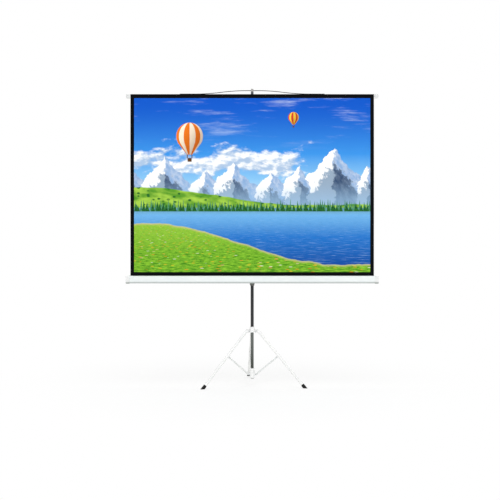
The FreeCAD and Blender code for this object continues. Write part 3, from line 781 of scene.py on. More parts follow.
@dataclass(frozen=True)
class Meadow:
    """A flowering bank whose shore falls to the right."""

    shore: float = 0.205
    drop: float = 0.175
    span: Span = (0.08, 0.85)
    lumps: Lumps = (9.0, 4.0, 0.5)
    lump_size: float = 0.03
    seed: float = 5.4
    stretch: float = 2.2
    tufts: Lumps = (9.0, 6.0, 0.62)
    tuft_span: Span = (0.34, 0.66)
    blades: Span = (120.0, 3.0)
    blade_stretch: float = 6.0
    blade_span: Span = (0.5, 0.75)
    sun_span: Span = (0.06, 0.2)
    tint: float = 0.4
    flowers: float = 7.0
    petals: Span = (0.24, 0.17)
    petal_chance: Span = (0.40, 0.45)
    sand: float = 0.012
    sand_weight: float = 0.7
    soft: float = 0.002


@dataclass(frozen=True)
class Landscape:
    """A made-up view of mountains, a lake and a meadow, in shares of the picture's width.

    Three numbers of a noise are its scale, layers and roughness, and two of a span are its ends.
    """

    left: float
    right: float
    bottom: float
    top: float
    sky_start: float = 0.23
    vanishing: float = 0.31
    clouds: Clouds = Clouds()
    far_hills: tuple[Hills, ...] = (Hills(0.365, 0.10, 2.3, "8fbbe4"),
                                    Hills(0.325, 0.08, 6.1, "5f95c8"))
    mountains: Mountains = Mountains()
    balloons: tuple[Balloon, ...] = (Balloon(0.235, 0.575, 0.058, "f0781e", "fff0d6"),
                                     Balloon(0.675, 0.655, 0.023, "d8452b", "ffd24a"))
    hill: Hill = Hill()
    lake: Lake = Lake()
    tree_rows: tuple[Firs, ...] = (Firs(95.0, 0.036, "2f6b56", "579a6c"),
                                   Firs(70.0, 0.027, "143f22", "2f7530"))
    meadow: Meadow = Meadow()


class Painting:
    """A landscape as it is painted: its graph, the point's place in it, and the colour so far."""

    def __init__(self, view: Landscape, graph: Graph) -> None:
        """Finds the point's place, in shares of the width, and paints from back to front.

        Args:
            view: What is painted.
            graph: The material's graph.
        """
        self.view = view
        self.graph = graph
        x, _, z = graph.axes(graph.place())
        width = view.right - view.left
        self.u, self.w = (x - view.left) / width, (z - view.bottom) / width
        height = (view.top - view.bottom) / width
        self.colour = graph.ramp(graph.rise(self.w, view.sky_start, height), {
            0.0: "d3e9f8", 0.24: "86c3f1", 0.55: "3c92e6", 1.0: "0f55c6"})
        self._clouds()
        for hills in view.far_hills:
            self._far(hills)
        self._mountains()
        for balloon in view.balloons:
            balloon.paint(self)
        self._hill()
        self._lake()
        for firs in view.tree_rows:
            self._trees(firs)
        self._meadow()

    def lay(self, share: Number, colour: Signal | Colour) -> None:
        """Lays a colour over what is painted."""
        self.colour = self.graph.mix(share, self.colour, colour)

    def _under(self, line: Number, soft: float) -> Signal:
        """1 under a line across the picture and 0 over it, with a soft edge."""
        return self.graph.rise(self.w, line + soft, line - soft)

    def _clouds(self) -> None:
        """Heaped clouds over the mountains and thin streaks above, lit from the left."""
        look, graph, u, w = self.view.clouds, self.graph, self.u, self.w
        across, up = look.shift
        heap = graph.noise(graph.vector(u, w * look.flat), *look.heaps)
        beside = graph.noise(graph.vector(u + across, w * look.flat + up), *look.heaps)
        bank = (graph.rise(abs(w - look.height), look.reach, 0.0)
                * graph.rise(u, *look.end)) * look.bank
        lit = graph.rise(heap - beside, *look.light)
        along, lean, close = look.stretch
        streak = graph.noise(graph.vector(u * along + w * lean, w * close), *look.streaks)
        thin = graph.rise(streak, *look.streak_span) * graph.rise(w, *look.streak_height)
        self.lay(thin * look.streak_weight, ink("eaf4fd"))
        self.lay(graph.rise(heap + bank, *look.span), graph.mix(lit, ink("a9c2e0"), ink("ffffff")))

    def _far(self, hills: Hills) -> None:
        """A range of hills in blue haze that pales downwards.

        Args:
            hills: The range.
        """
        graph = self.graph
        lumps = graph.noise(graph.vector(self.u, hills.seed), *hills.lumps) - 0.5
        ridge = lumps * hills.height + hills.foot
        shade = graph.rise(ridge - self.w, 0.0, hills.haze_depth) * hills.haze_weight
        hazed = graph.mix(shade, ink(hills.colour), ink(hills.haze))
        self.lay(self._under(ridge, hills.soft), hazed)

    def _mountains(self) -> None:
        """Peaks lit on the left and shaded on the right, with snow near the ridge and haze below.

        The ridge is the highest of the peaks' straight flanks, and a face belongs to the peak that
        is highest there. A ragged shift across breaks the flanks and the edges between faces.
        """
        look, graph, u, w = self.view.mountains, self.graph, self.u, self.w
        ragged = (graph.noise(graph.vector(u, w), *look.crags) - 0.5) * look.crag_size
        ridge, lit = look.foot + u * 0.0, u * 0.0
        for middle, height, half in look.peaks:
            aside = u + ragged - middle
            flank = (1.0 - abs(aside) / half) * height + look.foot
            higher = graph.math("GREATER_THAN", flank, ridge)
            lit = graph.rise(aside, look.edge, -look.edge) * higher + lit * (1.0 - higher)
            ridge = graph.math("MAXIMUM", flank, ridge)
        along, lean, up = look.stretch
        rock = graph.noise(graph.vector(u * along + w * lean, w * up), *look.rocks)
        light = graph.rise(lit * look.weights[0] + rock * look.weights[1], *look.light)
        stone = graph.mix(light, ink("33486a"), ink("93a7bd"))
        snow = graph.mix(light, ink("86a9d6"), ink("ffffff"))
        cover = graph.rise(ridge - w + (rock - 0.5) * look.snow_ragged, look.snow_depth,
                           look.snow_depth - look.snow_edge)
        haze = graph.rise(w, *look.haze) * look.haze_weight
        hazed = graph.mix(haze, graph.mix(cover, stone, snow), ink("9cc3e6"))
        self.lay(self._under(ridge, look.soft), hazed)

    def _hill(self) -> None:
        """The hill with its lit and shaded grass and dark bushes."""
        look, graph, u, w = self.view.hill, self.graph, self.u, self.w
        lumps = (graph.noise(graph.vector(u, look.seed), *look.lumps) - 0.5) * look.lump_size
        ridge = graph.rise(u, look.end, 0.0) * look.rise + look.foot + lumps
        up, lean = look.lean
        slope = graph.noise(graph.vector(u, w * up + u * lean), *look.slopes)
        grass = graph.mix(graph.rise(slope, *look.slope_span), ink("4f9128"), ink("a4cf4a"))
        distance, chance = graph.cells(graph.vector(u, w * look.bush_flat), look.bushes)
        bush = graph.rise(distance, *look.bush_span) * graph.rise(chance, *look.bush_chance)
        self.lay(self._under(ridge, look.soft), graph.mix(bush, grass, ink("2c6a2b")))

    def _lake(self) -> None:
        """Water with ripples that widen towards the viewer."""
        look, graph, u, w = self.view.lake, self.graph, self.u, self.w
        depth = 1.0 / (self.view.vanishing - w)
        water = graph.ramp(w / look.top, {0.0: "0c3d94", 0.55: "2473c9", 0.9: "6fb4ea",
                                          1.0: "8cc4ee"})
        across, along = look.stretch
        place = graph.vector((u - 0.5) * depth * across, depth * along)
        ripple = graph.noise(place, *look.ripples)
        crest = graph.rise(ripple, *look.crests) * look.crest_weight
        trough = graph.rise(ripple, *look.troughs) * look.trough_weight
        water = graph.mix(trough, graph.mix(crest, water, ink("b7dcf7")), ink("0a3a86"))
        shade = graph.rise(w, look.top - look.shade, look.top) * look.shade_weight
        self.lay(self._under(look.top, look.soft), graph.mix(shade, water, ink("2a6a5a")))

    def _trees(self, firs: Firs) -> None:
        """A row of firs.

        A tree's tip stands at the middle of each cell along the row, and its sides fall off with
        the distance from there, with a ragged edge.

        Args:
            firs: The row.
        """
        graph, u, w = self.graph, self.u, self.w
        row = graph.node("ShaderNodeTexVoronoi", {"W": u, "Scale": firs.count},
                         voronoi_dimensions="1D")
        chance = graph.out(graph.node("ShaderNodeSeparateColor", {0: graph.out(row, "Color")}))
        edge = graph.noise(graph.vector(u * firs.edge_stretch, w), *firs.edge_lumps) - 0.5
        fall = 1.0 - graph.out(row, "Distance") * 2.0
        size = chance * firs.sizes[0] + firs.sizes[1]
        tip = size * fall * firs.height + firs.foot + edge * firs.edge
        needles = graph.noise(graph.vector(u * firs.needle_stretch, w), *firs.needles)
        tree = graph.mix(graph.rise(needles, *firs.needle_span), ink(firs.dark), ink(firs.light))
        ground = graph.rise(w, firs.foot - firs.ground[0], firs.foot - firs.ground[1])
        self.lay(self._under(tip, firs.soft) * ground, tree)

    def _meadow(self) -> None:
        """The bank, its grass and flowers larger near the viewer."""
        look, graph, u, w = self.view.meadow, self.graph, self.u, self.w
        lumps = (graph.noise(graph.vector(u, look.seed), *look.lumps) - 0.5) * look.lump_size
        shore = look.shore - graph.rise(u, *look.span) * look.drop + lumps
        depth = 1.0 / (self.view.vanishing - w)
        ground = graph.vector((u - 0.5) * depth, depth * look.stretch)
        tufts = graph.rise(graph.noise(ground, *look.tufts), *look.tuft_span)
        blades = graph.noise(graph.vector(u * look.blade_stretch, w), *look.blades)
        grass = graph.mix(tufts, ink("2f7d16"), ink("8ecb33"))
        grass = graph.mix(graph.rise(blades, *look.blade_span) * look.tint, grass, ink("c3e35c"))
        grass = graph.mix(graph.rise(w, *look.sun_span) * look.tint, grass, ink("a9d84a"))
        distance, chance = graph.cells(ground, look.flowers)
        petals = graph.rise(distance, *look.petals) * graph.rise(chance, *look.petal_chance)
        hues = graph.ramp(chance, {0.5: "f58a1c", 0.7: "ffd331", 0.82: "ef5a24", 0.95: "fff6e0"})
        sand = graph.rise(shore - w, look.sand, 0.0) * look.sand_weight
        bank = graph.mix(sand, graph.mix(petals, grass, hues), ink("d8c58d"))
        self.lay(self._under(shore, look.soft), bank)


@dataclass(frozen=True)
class ScreenCloth:
    """The sheet's front: the picture inside a black border, on fine matt cloth."""

    picture: Landscape
    border: str = "030508"
    threads: float = 1000.0
    thread_share: float = 0.12
    depth: float = 0.00003
    edge: float = 0.0006
    specular: float = 0.1

    ROUGH: ClassVar[Span] = (0.1, 0.82)

    def material(self) -> bpy.types.Material:
        """Builds the cloth.

        Returns:
            The node material.
        """
        made = Coat("Picture on matt screen cloth")
        graph = made.graph
        x, _, z = graph.axes(graph.place())
        left, right, bottom = self.picture.left, self.picture.right, self.picture.bottom
        inside = (graph.rise(x, left - self.edge, left + self.edge)
                  * graph.rise(x, right + self.edge, right - self.edge)
                  * graph.rise(z, bottom - self.edge, bottom + self.edge))
        weave = placed(graph, Effect.WEAVE, Threads=self.threads)
        colour = Painting(self.picture, graph).colour
        shown = graph.mix(weave["Threads"] * self.thread_share, colour, ink("ffffff"), "SOFT_LIGHT")
        swing, least = self.ROUGH
        made.surface(graph.mix(inside, ink(self.border), shown), weave["Threads"] * swing + least,
                     weave["Height"] * self.depth)
        made.shader.inputs["Specular IOR Level"].default_value = self.specular
        return made.material


class Ends(Enum):
    """How the two ends of a row of rings are closed."""

    FAN = "to a middle point"
    STRIP = "across, first half to second half"
    LOOP = "last ring to first ring"


@dataclass
class Skin:
    """A closed surface over rings of points."""

    points: np.ndarray
    faces: list[list[int]]

    @classmethod
    def over(cls, rings: np.ndarray, ends: Ends = Ends.FAN) -> "Skin":
        """Joins each ring to the next, point by point and round, and closes the ends.

        Args:
            rings: Points as (ring, point, xyz).
            ends: How the ends are closed.

        Returns:
            The surface.
        """
        count, around = rings.shape[:2]
        points = rings.reshape(-1, 3)
        corner = np.arange(count * around).reshape(count, around)
        beside = np.roll(corner, -1, axis=1)
        if ends is Ends.LOOP:
            after, after_beside = np.roll(corner, -1, axis=0), np.roll(beside, -1, axis=0)
            quads = np.stack([corner, beside, after_beside, after], -1)
            return cls(points, quads.reshape(-1, 4).tolist())
        quads = np.stack([corner[:-1], beside[:-1], beside[1:], corner[1:]], -1)
        faces = quads.reshape(-1, 4).tolist()
        if ends is Ends.STRIP:
            near, far = corner[:, :around // 2], corner[:, :around // 2 - 1:-1]
            for k in (0, -1):
                quads = np.stack([near[k, :-1], near[k, 1:], far[k, 1:], far[k, :-1]], -1)
                faces += (quads if k else quads[:, ::-1]).tolist()
            return cls(points, faces)
        first, last = corner.size, corner.size + 1
        faces += np.stack([beside[0], corner[0], np.full(around, first)], -1).tolist()
        faces += np.stack([corner[-1], beside[-1], np.full(around, last)], -1).tolist()
        return cls(np.vstack([points, rings[[0, -1]].mean(axis=1)]), faces)

    @classmethod
    def turned(cls, start: np.ndarray, axis: np.ndarray, stations: np.ndarray, around: int = 40,
               flute: np.ndarray | None = None) -> "Skin":
        """A round shape: a circle at each station of an axis, each radius cut back by the flutes.

        Args:
            start: Point where the axis starts.
            axis: Direction of the axis.
            stations: Rows of distance along the axis and radius.
            around: Points round the axis.
            flute: Share of the radius left at each station and point.

        Returns:
            The surface.
        """
        axis = axis / np.linalg.norm(axis)
        side = np.cross(axis, (0.0, 0.0, 1.0) if abs(axis[2]) < 0.9 else (1.0, 0.0, 0.0))
        side = side / np.linalg.norm(side)
        turn = np.linspace(0, 2 * np.pi, around, endpoint=False)
        spoke = np.outer(np.cos(turn), side) + np.outer(np.sin(turn), np.cross(axis, side))
        reach = stations[:, 1, None] * (np.ones((1, around)) if flute is None else flute)
        rings = start + stations[:, 0, None, None] * axis + reach[..., None] * spoke
        return cls.over(rings)


def rounded(near: float, far: float, radius: float, curve: float, steps: int = 6) -> np.ndarray:
    """Stations of a cylinder with a quarter round of one radius at both ends.

    Args:
        near: Distance where it starts.
        far: Distance where it ends.
        radius: Radius of the cylinder.
        curve: Radius of the rounds.
        steps: Points in each round.

    Returns:
        Rows of distance and radius.
    """
    turn = np.linspace(0, np.pi / 2, steps)
    back, width = curve * (1 - np.sin(turn)), radius - curve * (1 - np.cos(turn))
    return np.vstack([np.stack([near + back, width], -1)[::-1], np.stack([far - back, width], -1)])


def box_outline(low: np.ndarray, high: np.ndarray, rounds: tuple[float, float, float, float],
                inset: float = 0.0, steps: int = 9, least: float = 0.1) -> np.ndarray:
    """A rectangle with a quarter circle at each corner, drawn in by an inset.

    Args:
        low: Lowest corner as two numbers.
        high: Highest corner as two numbers.
        rounds: Corner radii from the lowest corner, on round by way of the first number.
        inset: How far the outline is drawn in.
        steps: Points in each corner.
        least: Share of a radius that any inset leaves.

    Returns:
        Points as (point, 2).
    """
    low, high = np.asarray(low) + inset, np.asarray(high) - inset
    corners = []
    for k, size in enumerate(rounds):
        radius = max(size - inset, size * least)
        turn = np.linspace(0, np.pi / 2, steps) + np.pi * (1 + k / 2)
        far = np.array([k in (1, 2), k in (2, 3)])
        middle = np.where(far, high - radius, low + radius)
        corners.append(middle + radius * np.stack([np.cos(turn), np.sin(turn)], -1))
    return np.vstack(corners)


def carried(along: np.ndarray, sections: np.ndarray) -> np.ndarray:
    """Rings of sections in Y and Z at places along X.

    Args:
        along: Place of each ring.
        sections: Points as (ring, point, 2), or one section for all rings as (point, 2).

    Returns:
        Points as (ring, point, xyz).
    """
    rings = np.empty((len(along), sections.shape[-2], 3))
    rings[..., 0] = along[:, None]
    rings[..., 1:] = sections
    return rings


def body_of_node(node: str) -> str:
    """Name of the body that holds a solid."""
    bodies = frame["record"]["behaviour"]["bodies"]
    return next(body for body, members in bodies.items() if node in members)


def slot_of_node(node: str) -> str:
    """The record's material slot of a solid."""
    parts = frame["record"]["subparts"]
    return next(part["material_slot"] for part in parts if part["node"] == node)


def joint_of(name: str) -> dict:
    """A joint's row."""
    return next(joint for joint in frame["joints"] if joint["name"] == name)


def joint_point(name: str) -> np.ndarray:
    """A joint's own point in metres."""
    return np.array(joint_of(name)["pos_m"])


def islands(node: str) -> list[np.ndarray]:
    """The separate solids of a node.

    Points at one place are made one, then each takes the smallest number among those that share a
    face with it, again and again, until no number changes: a solid's points then hold one number.

    Args:
        node: Name of the node.

    Returns:
        The points of each solid.
    """
    mesh = frame["nodes"][node].data
    points = np.empty(len(mesh.vertices) * 3)
    mesh.vertices.foreach_get("co", points)
    mesh.calc_loop_triangles()
    faces = np.empty(len(mesh.loop_triangles) * 3, np.int32)
    mesh.loop_triangles.foreach_get("vertices", faces)
    places, same = np.unique(np.round(points.reshape(-1, 3), 6), axis=0, return_inverse=True)
    corners = same.ravel()[faces].reshape(-1, 3)
    label = np.arange(len(places))
    settled = False
    while not settled:
        smallest = label[corners].min(axis=1)
        spread = label.copy()
        np.minimum.at(spread, corners, smallest[:, None])
        settled = np.array_equal(spread, label)
        label = spread
    return [places[label == k] for k in np.unique(label)]


SURFACES = {
    "white_paint": Surface.WHITE_COAT, "brace_paint": Surface.BRACE_COAT,
    "white_plastic": Surface.WHITE_MOULDING, "grey_plastic": Surface.GREY_MOULDING,
    "black_plastic": Surface.BLACK_MOULDING, "black_rubber": Surface.RUBBER,
    "column_steel": Surface.COLUMN_COAT, "black_vinyl": Surface.VINYL,
    "pole_steel": Surface.POLE_COAT, "strap_steel": Surface.STRAP_STEEL,
    "hook_metal": Surface.HOOK_METAL, "zinc_steel": Surface.ZINC, "aluminium": Surface.ALUMINIUM,
    "spring_steel": Surface.SPRING_STEEL, "screen_white": BlackCloth(),
    "border_black": BlackCloth(),
}
SPECIAL = {"case_body": Surface.CASE_COAT}
Maker = Surface | BlackCloth | ScreenCloth


@dataclass
class Bench:
    """Dresses solids and makes pieces: mesh, finish, body and what they stand for."""

    sharp: float = math.radians(35)
    finishes: dict[str, bpy.types.Material] = field(default_factory=dict)

    def finish(self, maker: Maker) -> bpy.types.Material:
        """The finish's material, made on first use.

        Args:
            maker: A surface of this screen or one of its cloths.

        Returns:
            The material.
        """
        maker = maker.value if isinstance(maker, Surface) else maker
        key = repr(maker)
        if key not in self.finishes:
            self.finishes[key] = maker.material()
        return self.finishes[key]

    def dress(self) -> None:
        """Gives each solid the finish of its slot."""
        for name, node in frame["nodes"].items():
            material = self.finish(SPECIAL.get(name, SURFACES[slot_of_node(name)]))
            if not node.material_slots:
                node.data.materials.append(material)
            for slot in node.material_slots:
                slot.material = material
            LOG.info("%s: %s", name, material.name)

    def piece(self, name: str, skins: list[Skin], finishes: list[Maker], body: str, slot: str,
              stands_for: tuple[str, ...], choice: np.ndarray | None = None) -> bpy.types.Object:
        """Puts one or more surfaces into a piece.

        Args:
            name: Name of the piece.
            skins: Its closed surfaces.
            finishes: Its finishes in order.
            body: The body that it rides on.
            slot: The record's material slot, not used.
            stands_for: Solids that it stands for.
            choice: Which finish each face takes, the first where this is left out.

        Returns:
            The object.
        """
        starts = np.cumsum([0] + [len(skin.points) for skin in skins]).tolist()
        faces = [[corner + start for corner in face] for skin, start in zip(skins, starts)
                 for face in skin.faces]
        mesh = bpy.data.meshes.new(name)
        mesh.from_pydata(np.vstack([skin.points for skin in skins]).tolist(), [], faces)
        for maker in finishes:
            mesh.materials.append(self.finish(maker))
        if choice is not None:
            mesh.polygons.foreach_set("material_index", choice.astype(np.int32))
        grid = bmesh.new()
        grid.from_mesh(mesh)
        bmesh.ops.recalc_face_normals(grid, faces=grid.faces)
        grid.to_mesh(mesh)
        grid.free()
        mesh.shade_smooth()
        mesh.set_sharp_from_angle(angle=self.sharp)
        made = bpy.data.objects.new(name, mesh)
        bpy.context.scene.collection.objects.link(made)
        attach(made, body)
        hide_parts(*stands_for)
        LOG.info("%s: %d faces on %s", name, len(mesh.polygons), body)
        return made

    def instead(self, node: str, name: str, skins: list[Skin],
                maker: Maker | None = None) -> bpy.types.Object:
        """Makes a piece on its solid's own body, with its slot's finish by default.

        Args:
            node: The solid that it stands for.
            name: Name of the piece.
            skins: Its closed surfaces.
            maker: Its finish, that of its slot where this is left out.

        Returns:
            The object.
        """
        slot = slot_of_node(node)
        finishes = [maker or SURFACES[slot]]
        return self.piece(name, skins, finishes, body_of_node(node), slot, (node,))


@dataclass
class Assembly(ABC):
    """Pieces that belong together, and the bench where they are made."""

    bench: Bench

    @abstractmethod
    def build(self) -> None:
        """Makes the pieces."""


@dataclass
class Fasteners(Assembly):
    """Pins and rivets: each solid keeps its place and lengths, and its heads become domes."""

    nodes: tuple[str, ...] = ("hub_pins", "collar_pins", "brace_pin_left", "brace_pin_right",
                              "brace_pin_rear", "saddle_rivets", "hook_rivet", "strap_rivets")
    level: float = 0.0001
    edge: float = 0.0003
    rim: float = 0.3
    dome_start: float = 0.06
    dome_steps: int = 9
    ring_least: int = 5

    def build(self) -> None:
        """Makes a piece for each node."""
        for node in self.nodes:
            skins = [self._turned(points) for points in islands(node)]
            self.bench.instead(node, f"{node}_domed", skins)

    def _turned(self, points: np.ndarray) -> Skin:
        """One fastener.

        Its axis is the direction whose spread differs most from the other two. The solid has a step
        in radius under each head, so the levels along the axis give the heads' heights, and an end
        with no step gets a small round.

        Args:
            points: Points of the solid.

        Returns:
            The surface.
        """
        middle = (points.min(axis=0) + points.max(axis=0)) / 2
        _, spread, ways = np.linalg.svd(points - points.mean(axis=0), full_matrices=False)
        axis = ways[0] if spread[0] - spread[1] > spread[1] - spread[2] else ways[2]
        along = (points - middle) @ axis
        out = np.linalg.norm((points - middle) - np.outer(along, axis), axis=1)
        levels = np.unique(np.round(along / self.level)) * self.level
        near = [out[abs(along - level) < self.level] for level in levels]
        shank = min(ring.min() for ring in near if len(ring) >= self.ring_least)
        first = self._end(levels[0], levels[1] - levels[0], near[0].max(), shank, 1.0)
        last = self._end(levels[-1], levels[-1] - levels[-2], near[-1].max(), shank, -1.0)
        return Skin.turned(middle, axis, np.vstack([first, last[::-1]]))

    def _end(self, tip: float, height: float, radius: float, shank: float,
             way: float) -> np.ndarray:
        """Stations of one end, from its tip inwards: a head's dome and rim, or a plain rounded end.

        Args:
            tip: Place of the tip on the axis.
            height: Height of the head.
            radius: Radius at the tip.
            shank: Radius of the shank.
            way: Direction inwards, 1 or -1.

        Returns:
            Rows of distance and radius.
        """
        turn = np.linspace(self.dome_start, np.pi / 2, self.dome_steps)
        if radius < shank + self.level:
            return np.stack([tip + way * self.edge * (1 - np.cos(turn)),
                             shank - self.edge * (1 - np.sin(turn))], -1)
        crown = height * (1 - self.rim)
        dome = np.stack([tip + way * crown * (1 - np.cos(turn)), radius * np.sin(turn)], -1)
        under = [(tip + way * (height - self.edge / 2), radius),
                 (tip + way * height, radius - self.edge), (tip + way * height, shank)]
        return np.vstack([dome, under])


@dataclass
class Screen(Assembly):
    """The sheet in two lengths, the turns left on the roller, and the picture's place on them."""

    border: float = 0.03
    thickness: float = 0.0005
    tail_length: float = 0.405
    lap: float = 0.005
    lap_gap: float = 0.0007
    tuck: float = 0.0012
    tuck_back: float = 0.0004
    tuck_reach: float = 0.012
    columns: int = 161
    row: float = 0.011
    curl: float = 0.0045
    curl_reach: float = 0.05
    free_power: float = 0.7
    draw: float = 0.0007
    wide_fold: float = 9.0
    close_fold: float = 23.0
    fold_lean: float = 2.0
    wraps: float = 2.75
    wrap_steps: int = 72
    wrap_rows: int = 9
    wrap_gap: float = 0.00005
    wrap_share: float = 0.8

    def __post_init__(self) -> None:
        """Reads the sheet's box."""
        self.low, self.high = box_of("screen_fabric")
        self.seam = self.low[2] + self.tail_length
        self.top = box_of("batten_hem")[0][2] + self.tuck
        picture = Landscape(self.low[0] + self.border, self.high[0] - self.border,
                            box_of("case_body")[1][2] + self.border, self.high[2])
        backing = BlackCloth("Charcoal backing cloth", "151618", "202124", "2b2c30",
                             specular=0.3)
        self.finishes = [ScreenCloth(picture), backing]

    def build(self) -> None:
        """Makes the sheets.

        The lower one shortens as the case rises and the upper one as the pole goes down. The upper
        The upper one hangs a hair in front and laps over the lower one, so that no light shows
        between them.
        """
        travel = {joint["name"]: max(abs(end) for end in joint["range_m"])
                  for joint in frame["joints"] if joint["type"] == "slide"}
        front = self.low[1]
        tail = self._length("screen_tail", self.low[2], self.seam + self.lap, front, "case")
        main = self._length("screen_sheet", self.seam, self.top, front - self.lap_gap,
                            "batten")
        rise = self.top - self.seam
        1 - travel["carriage_slide"] / self.tail_length
        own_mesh(tail)
        1 - travel["pole_slide"] / rise
        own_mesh(main)
        self._wraps()

    def _length(self, name: str, bottom: float, top: float, depth: float,
                body: str) -> bpy.types.Object:
        """One length of the sheet as a closed thin shell, picture in front and black behind.

        Args:
            name: Name of the piece.
            bottom: Lowest height.
            top: Highest height.
            depth: Where its front is, without curl and folds.
            body: The body that it rides on.

        Returns:
            The piece.
        """
        across = np.linspace(self.low[0], self.high[0], self.columns)
        up = np.linspace(bottom, top, int((top - bottom) / self.row) + 2)
        x, z = np.meshgrid(across, up)
        front = np.stack([x, depth - self._forward(x, z), z], -1)
        back = front + np.array([0.0, self.thickness, 0.0])
        rings = np.concatenate([front, back[:, ::-1]], axis=1)
        skin = Skin.over(rings, Ends.STRIP)
        choice = np.ones(len(skin.faces), int)
        place = np.arange((len(up) - 1) * rings.shape[1]) % rings.shape[1]
        choice[:len(place)] = place >= self.columns - 1
        return self.bench.piece(name, [skin], self.finishes, body, "screen_white",
                                ("screen_fabric",), choice)

    def _forward(self, x: np.ndarray, z: np.ndarray) -> np.ndarray:
        """How far the sheet's front stands forward of its plane.

        The side edges curl forward, most at mid height and not at the seam or the batten, shallow
        folds drawn from the batten's strap ends run down and fade, and the top edge eases back into
        the sleeve.

        Args:
            x: Places across.
            z: Heights.

        Returns:
            The distance at each point.
        """
        share = np.clip((z - self.seam) / (self.top - self.seam), 0, 1)
        free = np.sin(np.pi * share) ** self.free_power
        edge = self.high[0] - abs(x)
        curl = self.curl * np.exp(-(edge / self.curl_reach) ** 2) * free
        close = 0.5 * np.sin(x * self.close_fold + self.fold_lean * share)
        folds = self.draw * free * share * (np.cos(x * self.wide_fold) + close)
        tucked = self.tuck_back * np.clip(1 - (self.top - z) / self.tuck_reach, 0, 1)
        return curl - folds - tucked

    def _wraps(self) -> None:
        """The turns on the roller: a spiral whose radius grows evenly with the angle, along X."""
        low, high = box_of("fabric_wraps")
        middle = (low + high)[1:] / 2
        outer = (high - low)[2] / 2
        inner = box_of("roller_tube")[1][2] - middle[1]
        layer = self.thickness * self.wrap_share
        turn = np.linspace(0, 2 * np.pi * self.wraps, int(self.wraps * self.wrap_steps))
        radius = np.linspace(inner + self.wrap_gap, outer - layer, len(turn))
        inside = np.stack([np.cos(turn) * radius, np.sin(turn) * radius], -1)
        outside = inside * (1 + layer / radius[:, None])
        ring = np.vstack([inside, outside[::-1]]) + middle
        rings = carried(np.linspace(low[0], high[0], self.wrap_rows), ring)
        piece = self.bench.instead("fabric_wraps", "screen_wraps", [Skin.over(rings, Ends.STRIP)])


CUP_STEPS = 7
CUP_FLOOR = (0.05, 0.6, 1.0)
CUP_LIP = 0.4
CUP_FACE = (0.8, 0.55, 0.3, 0.05)


def cup(low: np.ndarray, high: np.ndarray, rounds: tuple[float, float, float, float], wall: float,
        edge: float, crown: float) -> Skin:
    """An end cap: an outline in Y and Z carried out along X into a crowned end, hollow behind.

    The rings start at the middle of the inner face, go out to the inner wall and along it to the
    open rim, come back along the outside, turn in on a quarter circle and end at the crown's
    middle. Each has a scale, an inset and a reach from the rim.

    Args:
        low: Lowest corner of the cap.
        high: Highest corner of the cap.
        rounds: Corner radii of the outline.
        wall: Thickness of the wall.
        edge: Radius of the outer edge.
        crown: Height of the crown over the edge.

    Returns:
        The surface.
    """
    out, rim = (1.0, low[0]) if high[0] > 0 else (-1.0, high[0])
    depth = high[0] - low[0]
    hollow = depth - 2 * wall - crown
    turn = np.linspace(0, np.pi / 2, CUP_STEPS)
    inner = [(scale, wall, hollow) for scale in CUP_FLOOR]
    side = [(1.0, wall, 0.0), (1.0, wall * CUP_LIP, 0.0), (1.0, 0.0, wall * (1 - CUP_LIP))]
    curve = [(1.0, edge * (1 - c), depth - crown - edge * (1 - s))
             for c, s in zip(np.cos(turn), np.sin(turn))]
    face = [(scale, edge, depth - crown * scale ** 2) for scale in CUP_FACE]
    rows = inner + side + curve + face
    middle = (low + high)[1:] / 2
    sections = [middle + (box_outline(low[1:], high[1:], rounds, inset) - middle) * scale
                for scale, inset, _ in rows]
    along = np.array([rim + out * reach for _, _, reach in rows])
    return Skin.over(carried(along, np.array(sections)))


